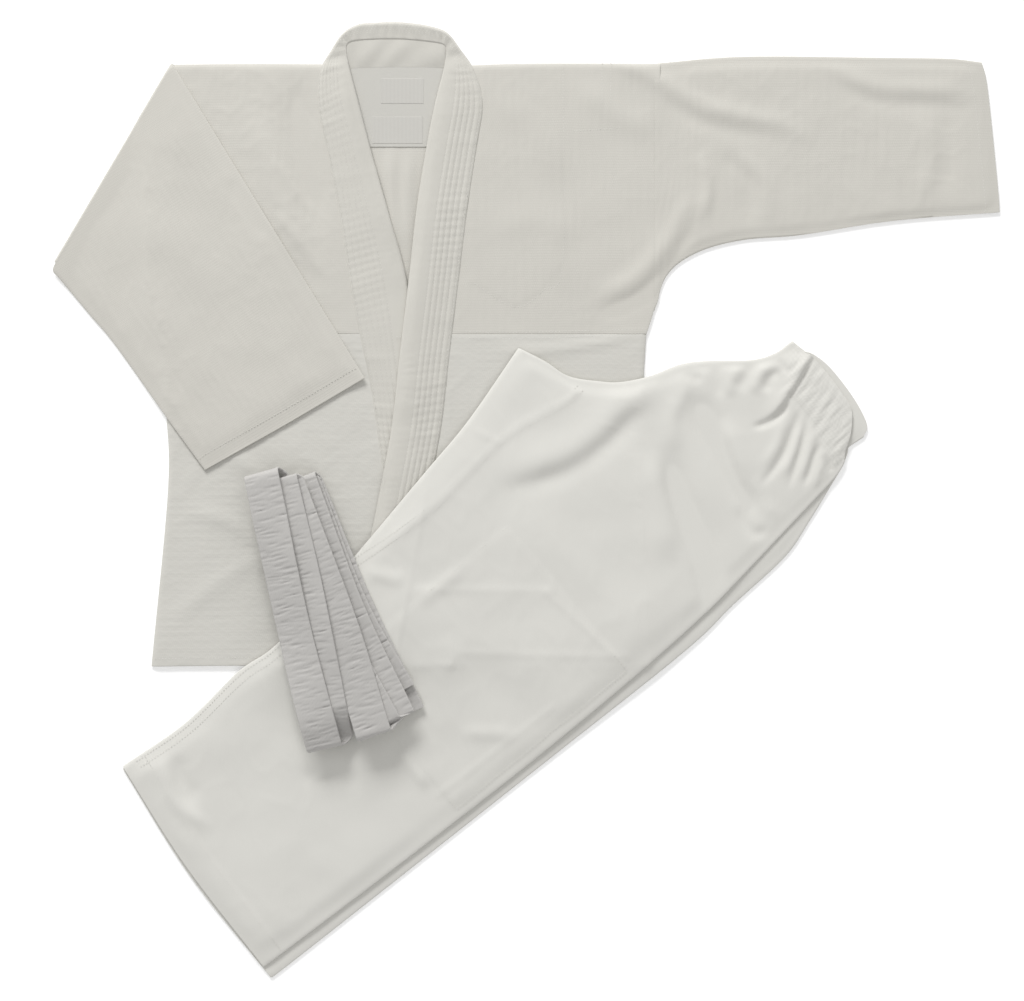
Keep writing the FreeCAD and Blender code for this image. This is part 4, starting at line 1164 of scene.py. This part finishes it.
# ---------------------------------------------------------------- bodies, nodes and slots
TIED = [
    ("back_panel", "jacket", "rice_weave", ["back_body", "right_sleeve_root_back", "right_underarm_gusset"]),
    ("back_skirt_panel", "jacket", "diamond_weave", ["back_skirt"]),
    ("right_front_panel", "jacket", "rice_weave", ["right_front_body", "right_shoulder_patch",
                                                   "right_sleeve_root_front"]),
    ("right_skirt_panel", "jacket", "diamond_weave", ["right_front_skirt", "right_vent_tape"]),
    ("left_front_panel", "jacket", "rice_weave", ["left_front_body", "left_shoulder_patch"]),
    ("left_skirt_panel", "jacket", "diamond_weave", ["left_front_skirt", "left_vent_tape"]),
    ("collar_band", "jacket", "collar_twill", [
        "right_lapel_cover", "right_lapel_core", "left_lapel_upper_cover", "left_lapel_upper_core",
        "left_lapel_lower_cover", "left_lapel_lower_core", "neck_band_cover", "neck_band_core"]),
    ("neck_yoke", "jacket", "lining_cotton", ["back_yoke_lining"]),
    ("neck_label_tag", "jacket", "label_cloth", ["neck_label"]),
    ("size_label_tag", "jacket", "label_cloth", ["size_label"]),
    ("right_leg", "right_trouser_leg", "trouser_twill", [
        "right_leg_front", "right_knee_patch", "right_leg_back", "right_crotch_gusset", "right_waistband",
        "right_waist_elastic"]),
    ("left_leg", "left_trouser_leg", "trouser_twill", [
        "left_leg_back", "left_leg_front", "left_crotch_gusset", "left_knee_patch", "left_waistband",
        "left_waist_elastic"]),
    ("belt", "belt", "belt_cotton", ["belt_strap"]),
    ("right_skirt_stitches", "jacket", "diamond_weave", []),
    ("left_front_stitches", "jacket", "rice_weave", []),
    ("collar_stitches", "jacket", "collar_twill", []),
    ("left_leg_stitches", "left_trouser_leg", "trouser_twill", []),
    ("left_sleeve_stitches", "left_sleeve", "rice_weave", []),
    ("right_sleeve_stitches", "right_sleeve", "rice_weave", [])]
for name, body, slot, nodes in TIED:
    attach(pieces[name], body)
    if nodes:
        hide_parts(*nodes)
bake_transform(pieces["left_sleeve"])
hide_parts("left_sleeve_back", "left_sleeve_front", "left_cuff_hem",
            "left_underarm_gusset")
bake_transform(pieces["right_sleeve"])
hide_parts("right_sleeve_front", "right_sleeve_back", "right_cuff_hem")

# ---------------------------------------------------------------- stage, light and camera
bpy.ops.mesh.primitive_plane_add(size=12, location=(0, 0, -0.0005))
floor = bpy.context.object
floor.name = "floor"
paper = bpy.data.materials.new("white_floor")
add, join, maths = node_tools(paper)
skin = add("ShaderNodeBsdfPrincipled")
skin.inputs["Base Color"].default_value = (0.93, 0.93, 0.93, 1)
skin.inputs["Roughness"].default_value = 0.9
skin.inputs["Specular IOR Level"].default_value = 0.1
skin.inputs["Emission Color"].default_value = (1, 1, 1, 1)
skin.inputs["Emission Strength"].default_value = 0.22
out = add("ShaderNodeOutputMaterial")
join(skin.outputs[0], out.inputs["Surface"])
floor.data.materials.append(paper)

scene = bpy.context.scene
world = bpy.data.worlds.new("studio")
scene.world = world
world.use_nodes = True
world.node_tree.nodes["Background"].inputs["Color"].default_value = (1, 1, 1, 1)
world.node_tree.nodes["Background"].inputs["Strength"].default_value = 0.53


def area_light(name, place, aim, size, power):
    data = bpy.data.lights.new(name, "AREA")
    data.shape = "RECTANGLE"
    data.size, data.size_y = size
    data.energy = power
    lamp = bpy.data.objects.new(name, data)
    scene.collection.objects.link(lamp)
    lamp.location = place
    direction = [b - a for a, b in zip(place, aim)]
    lamp.rotation_euler = Vector(direction).to_track_quat("-Z", "Y").to_euler()


area_light("key", (-1.9, 5.9, 3.2), (0, 0, 0), (3.0, 1.8), 415)
area_light("fill", (1.4, -3.0, 6.0), (0, 0, 0), (5.0, 5.0), 60)

CAMERA_HIGH = 3.4
VIEW_WIDE = 1.1776
camera_data = bpy.data.cameras.new("camera")
camera_data.sensor_width = 36.0
camera_data.lens = 36.0 * CAMERA_HIGH / VIEW_WIDE
camera_data.clip_end = 50
camera = bpy.data.objects.new("camera", camera_data)
scene.collection.objects.link(camera)
camera.location = (-0.0155, -0.0012, CAMERA_HIGH)
scene.camera = camera
scene.view_settings.view_transform = "Standard"
scene.view_settings.look = "None"
scene.view_settings.exposure = 0.0
